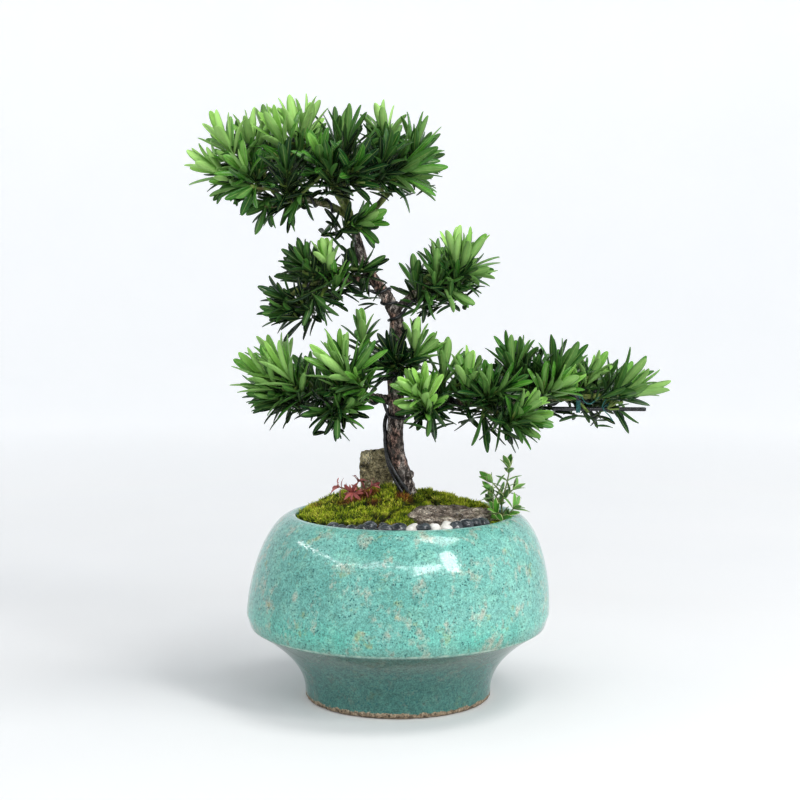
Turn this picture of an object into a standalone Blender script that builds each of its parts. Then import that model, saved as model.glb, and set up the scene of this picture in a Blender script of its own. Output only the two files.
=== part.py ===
"""A wired Buddhist pine (Podocarpus) bonsai in a round glazed pot, with moss, stones and pebbles.

The pot's axis is the Z axis and its foot stands on z = 0 while the pieces are made. The last step
moves everything so that the middle of the object's footprint is at the origin. -Y is the front.
"""

import math
import random

import bmesh
import bpy
from mathutils import Matrix, Vector
from mathutils.bvhtree import BVHTree

MM = 0.001
GAP = 0.3 * MM
SEED = 11

# Pot
BELLY_RADIUS = 112 * MM
BELLY_HEIGHT = 64 * MM
POT_HEIGHT = 136 * MM
LIP_RADIUS = 81.5 * MM
LIP_THICKNESS = 6 * MM
MOUTH_SHIFT = 3.7 * MM
WALL = 6.5 * MM
EDGE_WALL = 7.5 * MM
SHOULDER_ROUNDNESS = 1.85
EDGE_RADIUS = 109 * MM
EDGE_HEIGHT = 54 * MM
FOOT_RADIUS = 69 * MM
FOOT_RING_WIDTH = 9 * MM
FOOT_RECESS = 5 * MM
FOOT_CHAMFER = 1.5 * MM
FLARE_CURVE = 2.15
FLOOR_THICKNESS = 9 * MM
FLOOR_RADIUS = 59 * MM
DRAIN_RADIUS = 8 * MM
POT_SIDES = 28
SHOULDER_STEPS = 5
INNER_SHOULDER_STEPS = 3
FLARE_STEPS = 4
INNER_FLARE_STEPS = 2
MESH_RADIUS = 17 * MM
MESH_THICKNESS = 1.2 * MM
MESH_HOLES = 4
MESH_HOLE_RADIUS = 1.5 * MM
MESH_HOLE_RING = 5 * MM

# Ground
SOIL_LEVEL = 129.5 * MM
SOIL_RIM = LIP_RADIUS - 1.7 * MM
MOUND_HEIGHT = 16 * MM
MOUND_CENTRE = (-5 * MM, 28 * MM)
MOUND_SPREAD = (46 * MM, 40 * MM)
MOUND_REACH = (68 * MM, 79 * MM)
SOIL_RINGS = (0.76, 0.42)
SOIL_SIDES = POT_SIDES // 2
PEBBLE_SIZE = (5.4 * MM, 4.9 * MM, 4.7 * MM)
PEBBLE_PITCH = 8.6 * MM
PEBBLE_LIFT = 0.8 * MM
PEBBLE_RING = math.sin(math.radians(60))
PEBBLE_ROWS = ((71.5 * MM, 226, 326), (63 * MM, 284, 292))
WHITE_PEBBLES = (277, 300, 316)
WHITE_PEBBLE_RADIUS = 61.5 * MM
WHITE_PEBBLE_SCALE = 0.84
WHITE_PEBBLE_ROOM = 1.12
MOSS_EDGE = 4.0 * MM
MOSS_SINK = 3 * MM
MOSS_FOOT = 1.34
ROCK_PLACE = (-16 * MM, 40 * MM, 156 * MM)
ROCK_HALF = (13.8 * MM, 9 * MM, 24 * MM)
ROCK_ROUNDNESS = 0.22
ROCK_SLANT = 0.07
STONE_HALF = (34 * MM, 21 * MM)
STONE_PLACE = (38 * MM, -15 * MM, 134.5 * MM)
STONE_TILT = math.radians(9)
STONE_SPIN = math.radians(4)
STONE_SIDES = 14
STONE_LAYERS = ((5.2, 0.86), (3.2, 0.97), (0.6, 0.93), (-1.8, 1.02), (-4.6, 0.9))
STONE_BED = ((12, 1.08), (-5.3, 1.08))

# Leaves and twigs
LEAF_LENGTH = 28 * MM
LEAF_WIDTH = 9 * MM
LEAF_RIDGE = 0.9 * MM
LEAVES_PER_SHOOT = 3
LIGHT_SHOOT = 0.7
SHOOT_AXIS = 10 * MM
GOLDEN_ANGLE = math.radians(137.5)
TOP_SPREAD = math.radians(10)
SPREAD_GAIN = math.radians(50)
FOOT_SPREAD = math.radians(52)
LEAF_TRIES = 14
LEAF_SWAY = math.radians(22)
LEAF_CLOSING = math.radians(5)
TWIG_RADIUS = 1.3 * MM
SIDE_TWIG_RADIUS = 1.0 * MM
TWIG_LEAD = 9 * MM
TWIG_TRIES = 160
TWIG_SHIFT = 12 * MM
LEAF_ROOT_DEPTH = 0.65 * MM
CLEARANCE = 0.45 * MM
ROOT_ROOM = 2.5 * MM

# Wood and wires
TRUNK_RINGS = 14 * MM
LIMB_RINGS = 15 * MM
WIRE_SMOOTHING = 1.5 * MM
WIRE_RINGS = 3.7

# Each limb is a list of (x, y, z, radius) in mm, and starts inside the wood that bears it.
LIMBS = {
    "trunk": [
        (8, 24, 92, 7.0), (8, 23, 112, 8.2), (8, 22, 130, 7.8), (7, 21, 147, 6.7),
        (3, 19, 164, 6.0), (-1, 17, 179, 5.8), (-2, 14, 194, 5.7), (-1, 12, 211, 5.7),
        (-2, 10, 230, 5.3), (-2, 8, 256, 5.0), (-1, 6, 278, 4.8), (-4, 5, 287, 4.7),
        (-9, 4, 296, 4.4), (-15, 3, 304, 4.2), (-20, 3, 311, 4.0), (-25, 2, 320, 3.6),
        (-28, 1, 331, 3.4), (-31, 0, 341, 3.2), (-33, -1, 351, 3.0),
    ],
    "crown_left": [
        (-33, -1, 349, 2.7), (-40, -3, 356, 2.6), (-49, -6, 361, 2.5), (-66, -12, 365, 2.4),
        (-80, -15, 365, 2.2), (-88, -18, 370, 2.0), (-95, -20, 381, 1.8),
    ],
    "crown_mid": [(-33, -1, 348, 2.6), (-37, 1, 362, 2.4), (-40, 3, 375, 2.1), (-45, 6, 389, 1.8)],
    "crown_right": [
        (-31, 0, 342, 2.6), (-24, 3, 352, 2.4), (-14, 7, 363, 2.2), (-3, 9, 376, 2.0), (4, 8, 387, 1.7),
    ],
    "crown_back": [(-33, 0, 350, 2.4), (-38, 14, 361, 2.1), (-45, 30, 374, 1.9), (-51, 42, 386, 1.6)],
    "crown_front": [(-33, -1, 350, 2.3), (-40, -14, 362, 2.0), (-46, -28, 372, 1.8), (-51, -38, 379, 1.5)],
    "tier_left": [
        (-18, 3, 308, 3.0), (-26, 2, 309, 2.9), (-35, 0, 308, 2.8), (-55, -6, 307, 2.5),
        (-69, -10, 302, 2.2), (-77, -12, 296, 1.9),
    ],
    "tier_back": [(-36, 0, 308, 2.3), (-42, 12, 309, 2.1), (-50, 22, 309, 1.9), (-60, 29, 306, 1.6)],
    "upper_right": [
        (-3, 6, 283, 3.0), (2, 4, 289, 2.9), (12, 0, 297, 2.6), (22, -4, 305, 2.3),
        (34, -7, 307, 2.0), (44, -9, 311, 1.7),
    ],
    "low_left": [
        (-2, 11, 213, 3.2), (-8, 10, 219, 3.1), (-30, 2, 222, 2.8), (-62, -12, 225, 2.4),
        (-82, -17, 222, 2.0),
    ],
    "low_back": [(-36, 0, 222, 2.3), (-46, 14, 225, 2.1), (-58, 26, 227, 1.8)],
    "long_right": [
        (-1, 11, 209, 3.6), (6, 10, 214, 3.5), (20, 7, 216, 3.3), (40, 4, 217, 3.1),
        (80, 0, 219, 2.7), (120, -3, 221, 2.3), (150, -4, 223, 1.9),
    ],
    "front_right": [(48, 3, 217, 2.4), (58, -8, 217, 2.2), (68, -18, 213, 2.0), (78, -26, 211, 1.7)],
    "long_back": [(58, 2, 218, 2.3), (66, 12, 220, 2.1), (76, 22, 223, 1.8)],
    "outer_back": [(112, -3, 221, 2.1), (121, 7, 223, 1.9), (132, 14, 225, 1.6)],
}

# Wires: radius in mm, then stretches of (limb, from, to, turns, first angle, stand-off in mm).
# From and to are shares of the limb's length. The angle is in degrees, from the limb's own side.
WIRES = {
    "wire_trunk": (1.5, [
        ("trunk", 0.10, 0.37, -0.52, 86, 1.0), ("trunk", 0.38, 0.46, -0.16, -92, 2.0),
        ("trunk", 0.47, 0.685, -1.5, -152, 0.2),
    ]),
    "wire_long": (1.5, [
        ("trunk", 0.10, 0.37, -0.52, 60, 1.0), ("trunk", 0.38, 0.425, -0.37, -127, 0.6),
        ("long_right", 0.10, 0.98, 6.2, 290, 0.2),
    ]),
    "wire_low_left": (1.2, [("trunk", 0.427, 0.437, -0.4, 85, 0.2), ("low_left", 0.16, 0.9, -3.1, -80, 0.2)]),
    "wire_upper": (1.2, [("trunk", 0.700, 0.712, 0.45, -90, 0.2), ("upper_right", 0.3, 0.96, 2.2, 140, 0.2)]),
    "wire_tier": (1.0, [("trunk", 0.745, 0.80, -1.4, 60, 0.2), ("tier_left", 0.27, 0.94, -2.5, -120, 0.2)]),
    "wire_crown": (1.0, [("crown_left", 0.16, 0.94, 4.2, 40, 0.2)]),
}

# The straight rod tied under the long branch: both ends and the radius, in mm.
BRACE_ROD = ((112.6, -4, 213.4), (181.6, -5, 213.0), 1.5)

# Sprays: the limb that bears the twig, the share of its length where the twig leaves it, and its
# shoots. A shoot is where its leaves start, the point that its furthest leaf reaches, both as
# (x, y, z) in mm, and how light its leaves are.
SPRAYS = {
    "crown_far_left": ("crown_left", 1.0, [
        (-130, -10, 386, -154, -15, 400, 0.90),
        (-121, 0, 380, -134, 4, 361, 0.30),
        (-108, -35, 384, -118, -52, 396, 0.60),
    ]),
    "crown_left_top": ("crown_left", 0.93, [
        (-121, -20, 403, -134, -28, 427, 0.95),
        (-106, -5, 404, -109, 0, 434, 0.85),
        (-119, 25, 404, -136, 38, 421, 0.50),
        (-97, 34, 410, -106, 44, 437, 0.50),
    ]),
    "crown_left_under": ("crown_left", 0.72, [
        (-93, -15, 361, -112, -20, 357, 0.35),
        (-94, -22, 359, -101, -26, 337, 0.30),
        (-79, -10, 363, -76, -14, 341, 0.25),
    ]),
    "crown_front_left": ("crown_left", 0.55, [
        (-78, -45, 384, -80, -58, 405, 0.20),
        (-102, -42, 372, -113, -62, 360, 0.50),
    ]),
    "crown_top": ("crown_mid", 1.0, [
        (-73, -10, 411, -82, -14, 445, 1.00),
        (-67, 2, 415, -62, 6, 444, 0.95),
        (-82, -24, 405, -95, -34, 430, 0.80),
    ]),
    "crown_top_right": ("crown_mid", 0.75, [
        (-38, 0, 406, -33, 2, 439, 0.30),
        (-27, -18, 400, -8, -24, 409, 0.35),
    ]),
    "crown_front_top": ("crown_front", 1.0, [
        (-47, -46, 384, -49, -62, 401, 0.30),
        (-54, -44, 392, -56, -62, 408, 0.60),
        (-70, -36, 366, -80, -50, 350, 0.30),
    ]),
    "crown_back_top": ("crown_back", 1.0, [
        (-73, 45, 405, -75, 58, 434, 0.60),
        (-47, 42, 411, -46, 52, 441, 0.40),
        (-76, 45, 381, -88, 62, 366, 0.30),
        (-40, 50, 385, -36, 72, 372, 0.30),
    ]),
    "crown_right_top": ("crown_right", 1.0, [
        (-10, 8, 415, -14, 14, 440, 0.85),
        (12, 0, 402, 15, 0, 432, 0.50),
        (-18, 38, 403, -14, 52, 432, 0.40),
        (10, 30, 397, 26, 46, 418, 0.40),
    ]),
    "crown_right_side": ("crown_right", 0.85, [
        (3, -10, 389, 34, -14, 408, 0.45),
        (4, -22, 384, 39, -32, 389, 0.55),
        (2, 2, 383, 31, 6, 370, 0.50),
    ]),
    "crown_front_right": ("crown_right", 0.6, [
        (-8, -34, 394, 2, -44, 413, 0.30),
        (-30, -44, 384, -20, -66, 396, 0.35),
    ]),
    "crown_under": ("trunk", 0.97, [
        (-26, -14, 349, -8, -22, 356, 0.60),
        (-27, -8, 346, -15, -12, 336, 0.30),
    ]),
    "tier_far_left": ("tier_left", 1.0, [
        (-82, -18, 294, -98, -24, 302, 0.15),
        (-82, -14, 284, -103, -18, 283, 0.35),
    ]),
    "tier_left_top": ("tier_left", 0.78, [
        (-68, -14, 318, -84, -20, 330, 0.20),
        (-67, -8, 320, -72, -8, 340, 0.35),
    ]),
    "tier_top": ("tier_left", 0.45, [
        (-51, -14, 320, -55, -18, 339, 1.00),
        (-30, 4, 318, -34, 8, 335, 0.20),
        (-25, -6, 315, -10, -12, 324, 0.15),
    ]),
    "tier_under": ("tier_left", 0.6, [
        (-61, -20, 293, -69, -22, 269, 0.15),
        (-56, -26, 293, -42, -32, 280, 0.20),
    ]),
    "tier_back_top": ("tier_back", 1.0, [
        (-64, 36, 312, -70, 48, 333, 0.30),
        (-72, 32, 308, -91, 46, 317, 0.20),
        (-66, 34, 298, -76, 44, 276, 0.20),
    ]),
    "upper_tip": ("upper_right", 1.0, [
        (48, -12, 318, 62, -16, 345, 0.65),
        (42, -8, 319, 42, -8, 349, 0.85),
        (52, -10, 312, 71, -12, 314, 0.40),
    ]),
    "upper_top": ("upper_right", 0.6, [
        (28, -10, 313, 28, -12, 336, 0.40),
    ]),
    "upper_under": ("upper_right", 0.55, [
        (38, -12, 300, 56, -14, 289, 0.50),
        (20, -6, 295, 20, -8, 277, 0.20),
    ]),
    "upper_back": ("upper_right", 0.36, [
        (31, 14, 316, 26, 26, 337, 0.30),
        (13, 6, 306, 12, 10, 324, 0.35),
        (42, 12, 313, 57, 28, 330, 0.35),
    ]),
    "low_far_left": ("low_left", 1.0, [
        (-92, -24, 234, -119, -36, 260, 0.80),
        (-91, -20, 226, -115, -26, 234, 0.40),
        (-88, -17, 221, -108, -16, 219, 0.10),
    ]),
    "low_left_top": ("low_left", 0.8, [
        (-79, -30, 239, -103, -40, 271, 0.85),
        (-85, -6, 240, -99, -6, 275, 0.75),
    ]),
    "low_front_left": ("low_left", 0.45, [
        (-38, -40, 241, -66, -54, 266, 0.85),
        (-38, -28, 243, -45, -34, 284, 0.70),
        (-32, -38, 241, -14, -48, 265, 0.50),
    ]),
    "low_left_under": ("low_left", 0.55, [
        (-43, -38, 212, -45, -44, 192, 0.20),
        (-52, -32, 214, -69, -42, 212, 0.20),
        (-36, -36, 217, -20, -46, 230, 0.60),
    ]),
    "low_back_top": ("low_back", 1.0, [
        (-66, 32, 233, -82, 44, 250, 0.40),
        (-86, 26, 229, -108, 34, 243, 0.40),
        (-46, 38, 232, -51, 52, 251, 0.40),
    ]),
    "trunk_left": ("trunk", 0.62, [
        (-26, -8, 267, -27, -10, 288, 0.60),
    ]),
    "trunk_front": ("trunk", 0.56, [
        (12, -8, 260, 13, -8, 283, 0.85),
        (17, -14, 255, 29, -18, 266, 0.70),
    ]),
    "long_inner": ("long_right", 0.12, [
        (19, -26, 224, 16, -38, 248, 1.00),
        (12, -28, 227, 0, -40, 239, 0.90),
        (24, -24, 212, 26, -30, 190, 0.15),
    ]),
    "long_top_inner": ("long_right", 0.24, [
        (34, -4, 240, 36, -6, 268, 0.70),
        (50, -14, 235, 50, -20, 261, 0.80),
    ]),
    "long_top": ("long_right", 0.48, [
        (84, 0, 244, 77, 0, 272, 0.50),
        (89, 8, 245, 96, 14, 269, 0.45),
        (100, -4, 240, 109, -6, 259, 0.15),
    ]),
    "front_fork": ("front_right", 1.0, [
        (90, -40, 215, 104, -48, 230, 0.75),
        (92, -36, 210, 112, -46, 212, 0.70),
        (84, -32, 206, 104, -40, 192, 0.45),
    ]),
    "front_inner": ("front_right", 0.45, [
        (66, -24, 228, 62, -36, 251, 0.50),
        (76, -26, 229, 94, -38, 240, 0.55),
        (62, -20, 207, 66, -26, 182, 0.20),
        (75, -28, 206, 82, -34, 182, 0.15),
    ]),
    "long_mid": ("long_right", 0.66, [
        (114, 0, 236, 116, 0, 275, 0.35),
        (118, -10, 237, 134, -14, 268, 0.50),
        (115, -26, 231, 133, -36, 244, 0.75),
    ]),
    "long_tip": ("long_right", 1.0, [
        (167, -9, 224, 200, -12, 234, 0.65),
        (162, -5, 228, 184, -8, 254, 0.55),
        (163, -14, 219, 195, -18, 219, 0.60),
        (158, -2, 215, 172, -4, 194, 0.20),
    ]),
    "long_outer": ("long_right", 0.84, [
        (142, -2, 237, 153, -4, 256, 0.80),
        (139, -9, 211, 152, -14, 196, 0.20),
    ]),
    "long_back_top": ("long_back", 1.0, [
        (84, 32, 232, 84, 46, 256, 0.40),
        (58, 28, 232, 54, 38, 254, 0.40),
        (104, 30, 229, 114, 42, 252, 0.40),
    ]),
    "outer_back_top": ("outer_back", 1.0, [
        (138, 22, 231, 144, 36, 252, 0.40),
        (152, 18, 227, 174, 30, 243, 0.40),
    ]),
}

STEM_RADIUS = 0.75 * MM
STEM_HOLE_RADIUS = 1.4 * MM
SMALL_LEAF_SPREAD = math.radians(62)
HOLES_TOP = 165 * MM

# Small plants: the points of the stem and its branches, and the leaves' length and width, in mm.
RED_PLANT = {
    "stem": [(-31, 12, 130), (-31, 12, 150), (-32, 11, 156), (-30, 10, 161)],
    "branches": [
        [(-31, 12, 152), (-38, 10, 157), (-42, 9, 159)], [(-31, 12, 152), (-24, 9, 157), (-20, 8, 160)],
    ],
    "leaf": (9, 3.6),
}
VARIEGATED_PLANT = {
    "stem": [(76, -12, 122), (76, -12, 138), (76, -12, 146), (79, -12, 157), (81, -13, 167), (81, -13, 172)],
    "branches": [[(76, -12, 143), (70, -15, 148)], [(76, -12, 147), (84, -9, 152)]],
    "leaf": (12, 5),
}

COLOURS = {
    "glaze": (0.13, 0.43, 0.36),
    "plastic": (0.03, 0.03, 0.03),
    "soil": (0.06, 0.04, 0.03),
    "moss": (0.17, 0.24, 0.02),
    "grey_stone": (0.16, 0.14, 0.11),
    "slate": (0.15, 0.12, 0.10),
    "dark_pebble": (0.03, 0.035, 0.04),
    "white_pebble": (0.75, 0.74, 0.70),
    "bark": (0.09, 0.045, 0.03),
    "wire": (0.015, 0.016, 0.018),
    "red_leaf": (0.45, 0.08, 0.07),
    "cream_leaf": (0.30, 0.42, 0.18),
}
ROUGHNESS = {
    "glaze": 0.15, "wire": 0.45, "red_leaf": 0.5, "cream_leaf": 0.45, "plastic": 0.6, "dark_pebble": 0.35,
}
DARK_LEAF = Vector((0.015, 0.06, 0.012))
LIGHT_LEAF = Vector((0.16, 0.33, 0.05))


def clear_scene():
    for obj in list(bpy.data.objects):
        bpy.data.objects.remove(obj, do_unlink=True)


def new_collection(name):
    found = bpy.data.collections.new(name)
    bpy.context.scene.collection.children.link(found)
    return found


def material(name, colour, roughness=0.6, metallic=0.0):
    made = bpy.data.materials.new(name)
    made.use_nodes = True
    shader = made.node_tree.nodes["Principled BSDF"]
    shader.inputs["Base Color"].default_value = (*colour, 1)
    shader.inputs["Roughness"].default_value = roughness
    shader.inputs["Metallic"].default_value = metallic
    return made


def finish_object(name, mesh, surface, collection, smooth_angle=40):
    obj = bpy.data.objects.new(name, mesh)
    mesh.materials.clear()
    mesh.materials.append(surface)
    mesh.shade_smooth()
    mesh.set_sharp_from_angle(angle=math.radians(smooth_angle))
    collection.objects.link(obj)
    return obj


def mesh_from(bm, name):
    mesh = bpy.data.meshes.new(name)
    bmesh.ops.recalc_face_normals(bm, faces=bm.faces)
    bm.to_mesh(mesh)
    bm.free()
    return mesh


def evaluated_mesh(obj):
    graph = bpy.context.evaluated_depsgraph_get()
    return bpy.data.meshes.new_from_object(obj.evaluated_get(graph))


# Curves and paths


def spline_at(points, share):
    """The point of a smooth curve through the given ones, at a share of its spans."""
    last = len(points) - 1
    position = min(max(share * last, 0), last - 1e-9)
    span = int(position)
    t = position - span
    a, b, c, d = (points[min(max(span + k, 0), last)] for k in (-1, 0, 1, 2))
    return 0.5 * (2 * b + (c - a) * t + (2 * a - 5 * b + 4 * c - d) * t**2 + (3 * b - a - 3 * c + d) * t**3)


def smooth_path(points, spacing):
    """Points at even steps along the smooth curve. They have as many parts as the given ones."""
    points = [Vector(point) for point in points]
    fine = [spline_at(points, k / (40 * (len(points) - 1))) for k in range(40 * (len(points) - 1) + 1)]
    lengths = [0.0]
    for before, after in zip(fine, fine[1:]):
        lengths.append(lengths[-1] + (Vector(after[:3]) - Vector(before[:3])).length)
    count = max(round(lengths[-1] / spacing), 1)
    path = []
    index = 0
    for step in range(count + 1):
        wanted = lengths[-1] * step / count
        while index < len(fine) - 2 and lengths[index + 1] < wanted:
            index += 1
        share = (wanted - lengths[index]) / max(lengths[index + 1] - lengths[index], 1e-12)
        path.append(fine[index].lerp(fine[index + 1], min(max(share, 0), 1)))
    return path


def limb_path(name, spacing):
    """The limb's points in metres, each with its radius as the fourth part."""
    return smooth_path([Vector(point) * MM for point in LIMBS[name]], spacing)


def limb_at(name, share):
    """Where the limb is at this share of its length, its direction and its radius."""
    path = limb_path(name, 1 * MM)
    index = round(share * (len(path) - 1))
    after = path[min(index + 1, len(path) - 1)]
    before = path[max(index - 1, 0)]
    tangent = (Vector(after[:3]) - Vector(before[:3])).normalized()
    return Vector(path[index][:3]), tangent, path[index][3]


def tube_mesh(points, radii, resolution):
    """A round tube along the points. A resolution of 0 gives it 4 sides, 1 gives 6 and 2 gives 8."""
    curve = bpy.data.curves.new("tube", "CURVE")
    curve.dimensions = "3D"
    curve.bevel_depth = 1.0
    curve.bevel_resolution = resolution
    curve.use_fill_caps = True
    spline = curve.splines.new("POLY")
    spline.points.add(len(points) - 1)
    for target, point, radius in zip(spline.points, points, radii):
        target.co = (*point, 1)
        target.radius = radius
    obj = bpy.data.objects.new("tube", curve)
    bpy.context.scene.collection.objects.link(obj)
    mesh = evaluated_mesh(obj)
    bpy.data.objects.remove(obj)
    bpy.data.curves.remove(curve)
    bm = bmesh.new()
    bm.from_mesh(mesh)
    bmesh.ops.remove_doubles(bm, verts=bm.verts, dist=1e-6)
    bmesh.ops.recalc_face_normals(bm, faces=bm.faces)
    bm.to_mesh(mesh)
    bm.free()
    return mesh


# Booleans


def union_of(meshes, name):
    """One closed mesh from several that overlap."""
    helpers = bpy.data.collections.new("joined")
    bpy.context.scene.collection.children.link(helpers)
    first = bpy.data.objects.new(name, meshes[0])
    bpy.context.scene.collection.objects.link(first)
    for mesh in meshes[1:]:
        helpers.objects.link(bpy.data.objects.new("joined", mesh))
    join = first.modifiers.new("join", "BOOLEAN")
    join.operation = "UNION"
    join.operand_type = "COLLECTION"
    join.collection = helpers
    join.solver = "MANIFOLD"
    result = evaluated_mesh(first)
    bpy.data.objects.remove(first)
    for obj in list(helpers.objects):
        bpy.data.objects.remove(obj)
    bpy.data.collections.remove(helpers)
    result.name = name
    return outer_body(result)


def outer_body(mesh):
    """The mesh's largest connected part alone, so that no sealed hollow or loose scrap is left."""
    bm = bmesh.new()
    bm.from_mesh(mesh)
    bm.faces.ensure_lookup_table()
    unseen = set(bm.faces)
    bodies = []
    while unseen:
        body = [unseen.pop()]
        for face in body:
            for edge in face.edges:
                for other in edge.link_faces:
                    if other in unseen:
                        unseen.remove(other)
                        body.append(other)
        bodies.append(body)
    bodies.sort(key=lambda body: sum(face.calc_area() for face in body))
    loose = [face for body in bodies[:-1] for face in body]
    bmesh.ops.delete(bm, geom=loose, context="FACES")
    bm.to_mesh(mesh)
    bm.free()
    return mesh


def cut(obj, cutter_mesh, cutters, name):
    """Takes the cutter's shape out of the object. The cutter stays as a hidden guide."""
    cutter = bpy.data.objects.new(name, cutter_mesh)
    cutters.objects.link(cutter)
    cutter.hide_render = True
    cutter.display_type = "WIRE"
    difference = obj.modifiers.new(name, "BOOLEAN")
    difference.operation = "DIFFERENCE"
    difference.object = cutter


# Pot


def lip_curve():
    """The rounded lip, from its outer top over to the inside of the mouth."""
    radius = LIP_THICKNESS / 2
    middle = POT_HEIGHT - radius
    turns = [math.radians(turn) for turn in (90, 150, 210, 270)]
    return [(LIP_RADIUS + radius * math.cos(turn), middle + radius * math.sin(turn)) for turn in turns]


def shoulder_curve(outer_radius, top, steps=SHOULDER_STEPS):
    """From the belly's widest level up to the mouth, as a superellipse."""
    power = 2 / SHOULDER_ROUNDNESS
    curve = []
    for step in range(steps + 1):
        angle = math.pi / 2 * step / (steps + 0.6)
        curve.append((
            LIP_RADIUS + (outer_radius - LIP_RADIUS) * math.cos(angle) ** power,
            BELLY_HEIGHT + (top - BELLY_HEIGHT) * math.sin(angle) ** power,
        ))
    return curve


def flare_curve(foot_radius, edge_radius, low, high, steps=FLARE_STEPS):
    """The hollow curve from the foot up to the sharp edge under the belly."""
    curve = []
    for step in range(steps + 1):
        rise = step / steps
        radius = foot_radius + (edge_radius - foot_radius) * rise**FLARE_CURVE
        curve.append((radius, low + (high - low) * rise))
    return curve


def inner_wall(gap=0.0):
    """The inside of the pot from its floor to under the lip, moved inwards by the gap."""
    floor = FOOT_RECESS + FLOOR_THICKNESS
    flare = flare_curve(FLOOR_RADIUS, EDGE_RADIUS - EDGE_WALL, floor, EDGE_HEIGHT + 2 * MM, INNER_FLARE_STEPS)
    shoulder = shoulder_curve(BELLY_RADIUS - WALL, POT_HEIGHT - WALL, INNER_SHOULDER_STEPS)
    return [(radius - gap, max(height, floor + gap)) for radius, height in flare + shoulder]


def pot_profile():
    """The wall's closed section, down the outside, under the foot and up the inside."""
    outside = lip_curve()[:1] + list(reversed(shoulder_curve(BELLY_RADIUS, POT_HEIGHT)[:-1]))
    flare = list(reversed(flare_curve(FOOT_RADIUS, EDGE_RADIUS, FOOT_CHAMFER, EDGE_HEIGHT)))
    foot_inner = FOOT_RADIUS - FOOT_RING_WIDTH
    under = [
        (FOOT_RADIUS - FOOT_CHAMFER, 0), (foot_inner, 0), (foot_inner - FOOT_CHAMFER, FOOT_RECESS),
        (DRAIN_RADIUS, FOOT_RECESS), (DRAIN_RADIUS, FOOT_RECESS + FLOOR_THICKNESS),
    ]
    return outside + flare + under + inner_wall() + list(reversed(lip_curve()[1:]))


def turned_mesh(name, profile, sides):
    """A closed section turned round the Z axis by a Screw modifier."""
    mesh = bpy.data.meshes.new(name)
    bm = bmesh.new()
    ring = [bm.verts.new((radius, 0, height)) for radius, height in profile]
    for before, after in zip(ring, ring[1:] + ring[:1]):
        bm.edges.new((before, after))
    bm.to_mesh(mesh)
    bm.free()
    obj = bpy.data.objects.new(name, mesh)
    bpy.context.scene.collection.objects.link(obj)
    screw = obj.modifiers.new("turn", "SCREW")
    screw.steps = sides
    screw.render_steps = sides
    screw.use_merge_vertices = True
    screw.merge_threshold = 0.01 * MM
    result = evaluated_mesh(obj)
    bpy.data.objects.remove(obj)
    return result


def mouth_lean(height):
    """How far the pot stands off its axis at this height: it leans to its mouth from the belly up."""
    return MOUTH_SHIFT * max((height - BELLY_HEIGHT) / (POT_HEIGHT - BELLY_HEIGHT), 0)


def make_pot(collection, materials):
    """The thrown body, whose mouth stands a little to one side of its foot's axis."""
    mesh = turned_mesh("pot", pot_profile(), POT_SIDES)
    for vert in mesh.vertices:
        vert.co.x += mouth_lean(vert.co.z)
    finish_object("pot", mesh, materials["glaze"], collection)


def make_drain_mesh(collection, cutters, materials):
    """The perforated disc over the drain hole, on the pot's floor."""
    bm = bmesh.new()
    height = FOOT_RECESS + FLOOR_THICKNESS + GAP + MESH_THICKNESS / 2
    bmesh.ops.create_cone(
        bm, cap_ends=True, segments=16, radius1=MESH_RADIUS, radius2=MESH_RADIUS, depth=MESH_THICKNESS,
        matrix=Matrix.Translation((0, 0, height)),
    )
    disc = finish_object("drain_mesh", mesh_from(bm, "drain_mesh"), materials["plastic"], collection)
    holes = bmesh.new()
    for turn in range(MESH_HOLES):
        angle = 2 * math.pi * turn / MESH_HOLES
        place = Matrix.Translation((MESH_HOLE_RING * math.cos(angle), MESH_HOLE_RING * math.sin(angle), height))
        bmesh.ops.create_cone(
            holes, cap_ends=True, segments=6, radius1=MESH_HOLE_RADIUS, radius2=MESH_HOLE_RADIUS,
            depth=3 * MESH_THICKNESS, matrix=place,
        )
    cut(disc, mesh_from(holes, "drain_mesh_holes"), cutters, "drain_mesh_holes")


# Ground


def ground_height(x, y):
    """The soil's level: flat at the rim and raised in a mound round the trunk."""
    across = (x - MOUND_CENTRE[0]) / MOUND_SPREAD[0]
    deep = (y - MOUND_CENTRE[1]) / MOUND_SPREAD[1]
    beyond = (math.hypot(x - MOUTH_SHIFT, y) - MOUND_REACH[0]) / (MOUND_REACH[1] - MOUND_REACH[0])
    fade = 1 - min(max(beyond, 0), 1)
    return SOIL_LEVEL + MOUND_HEIGHT * math.exp(-(across**2) - deep**2) * fade


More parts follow.
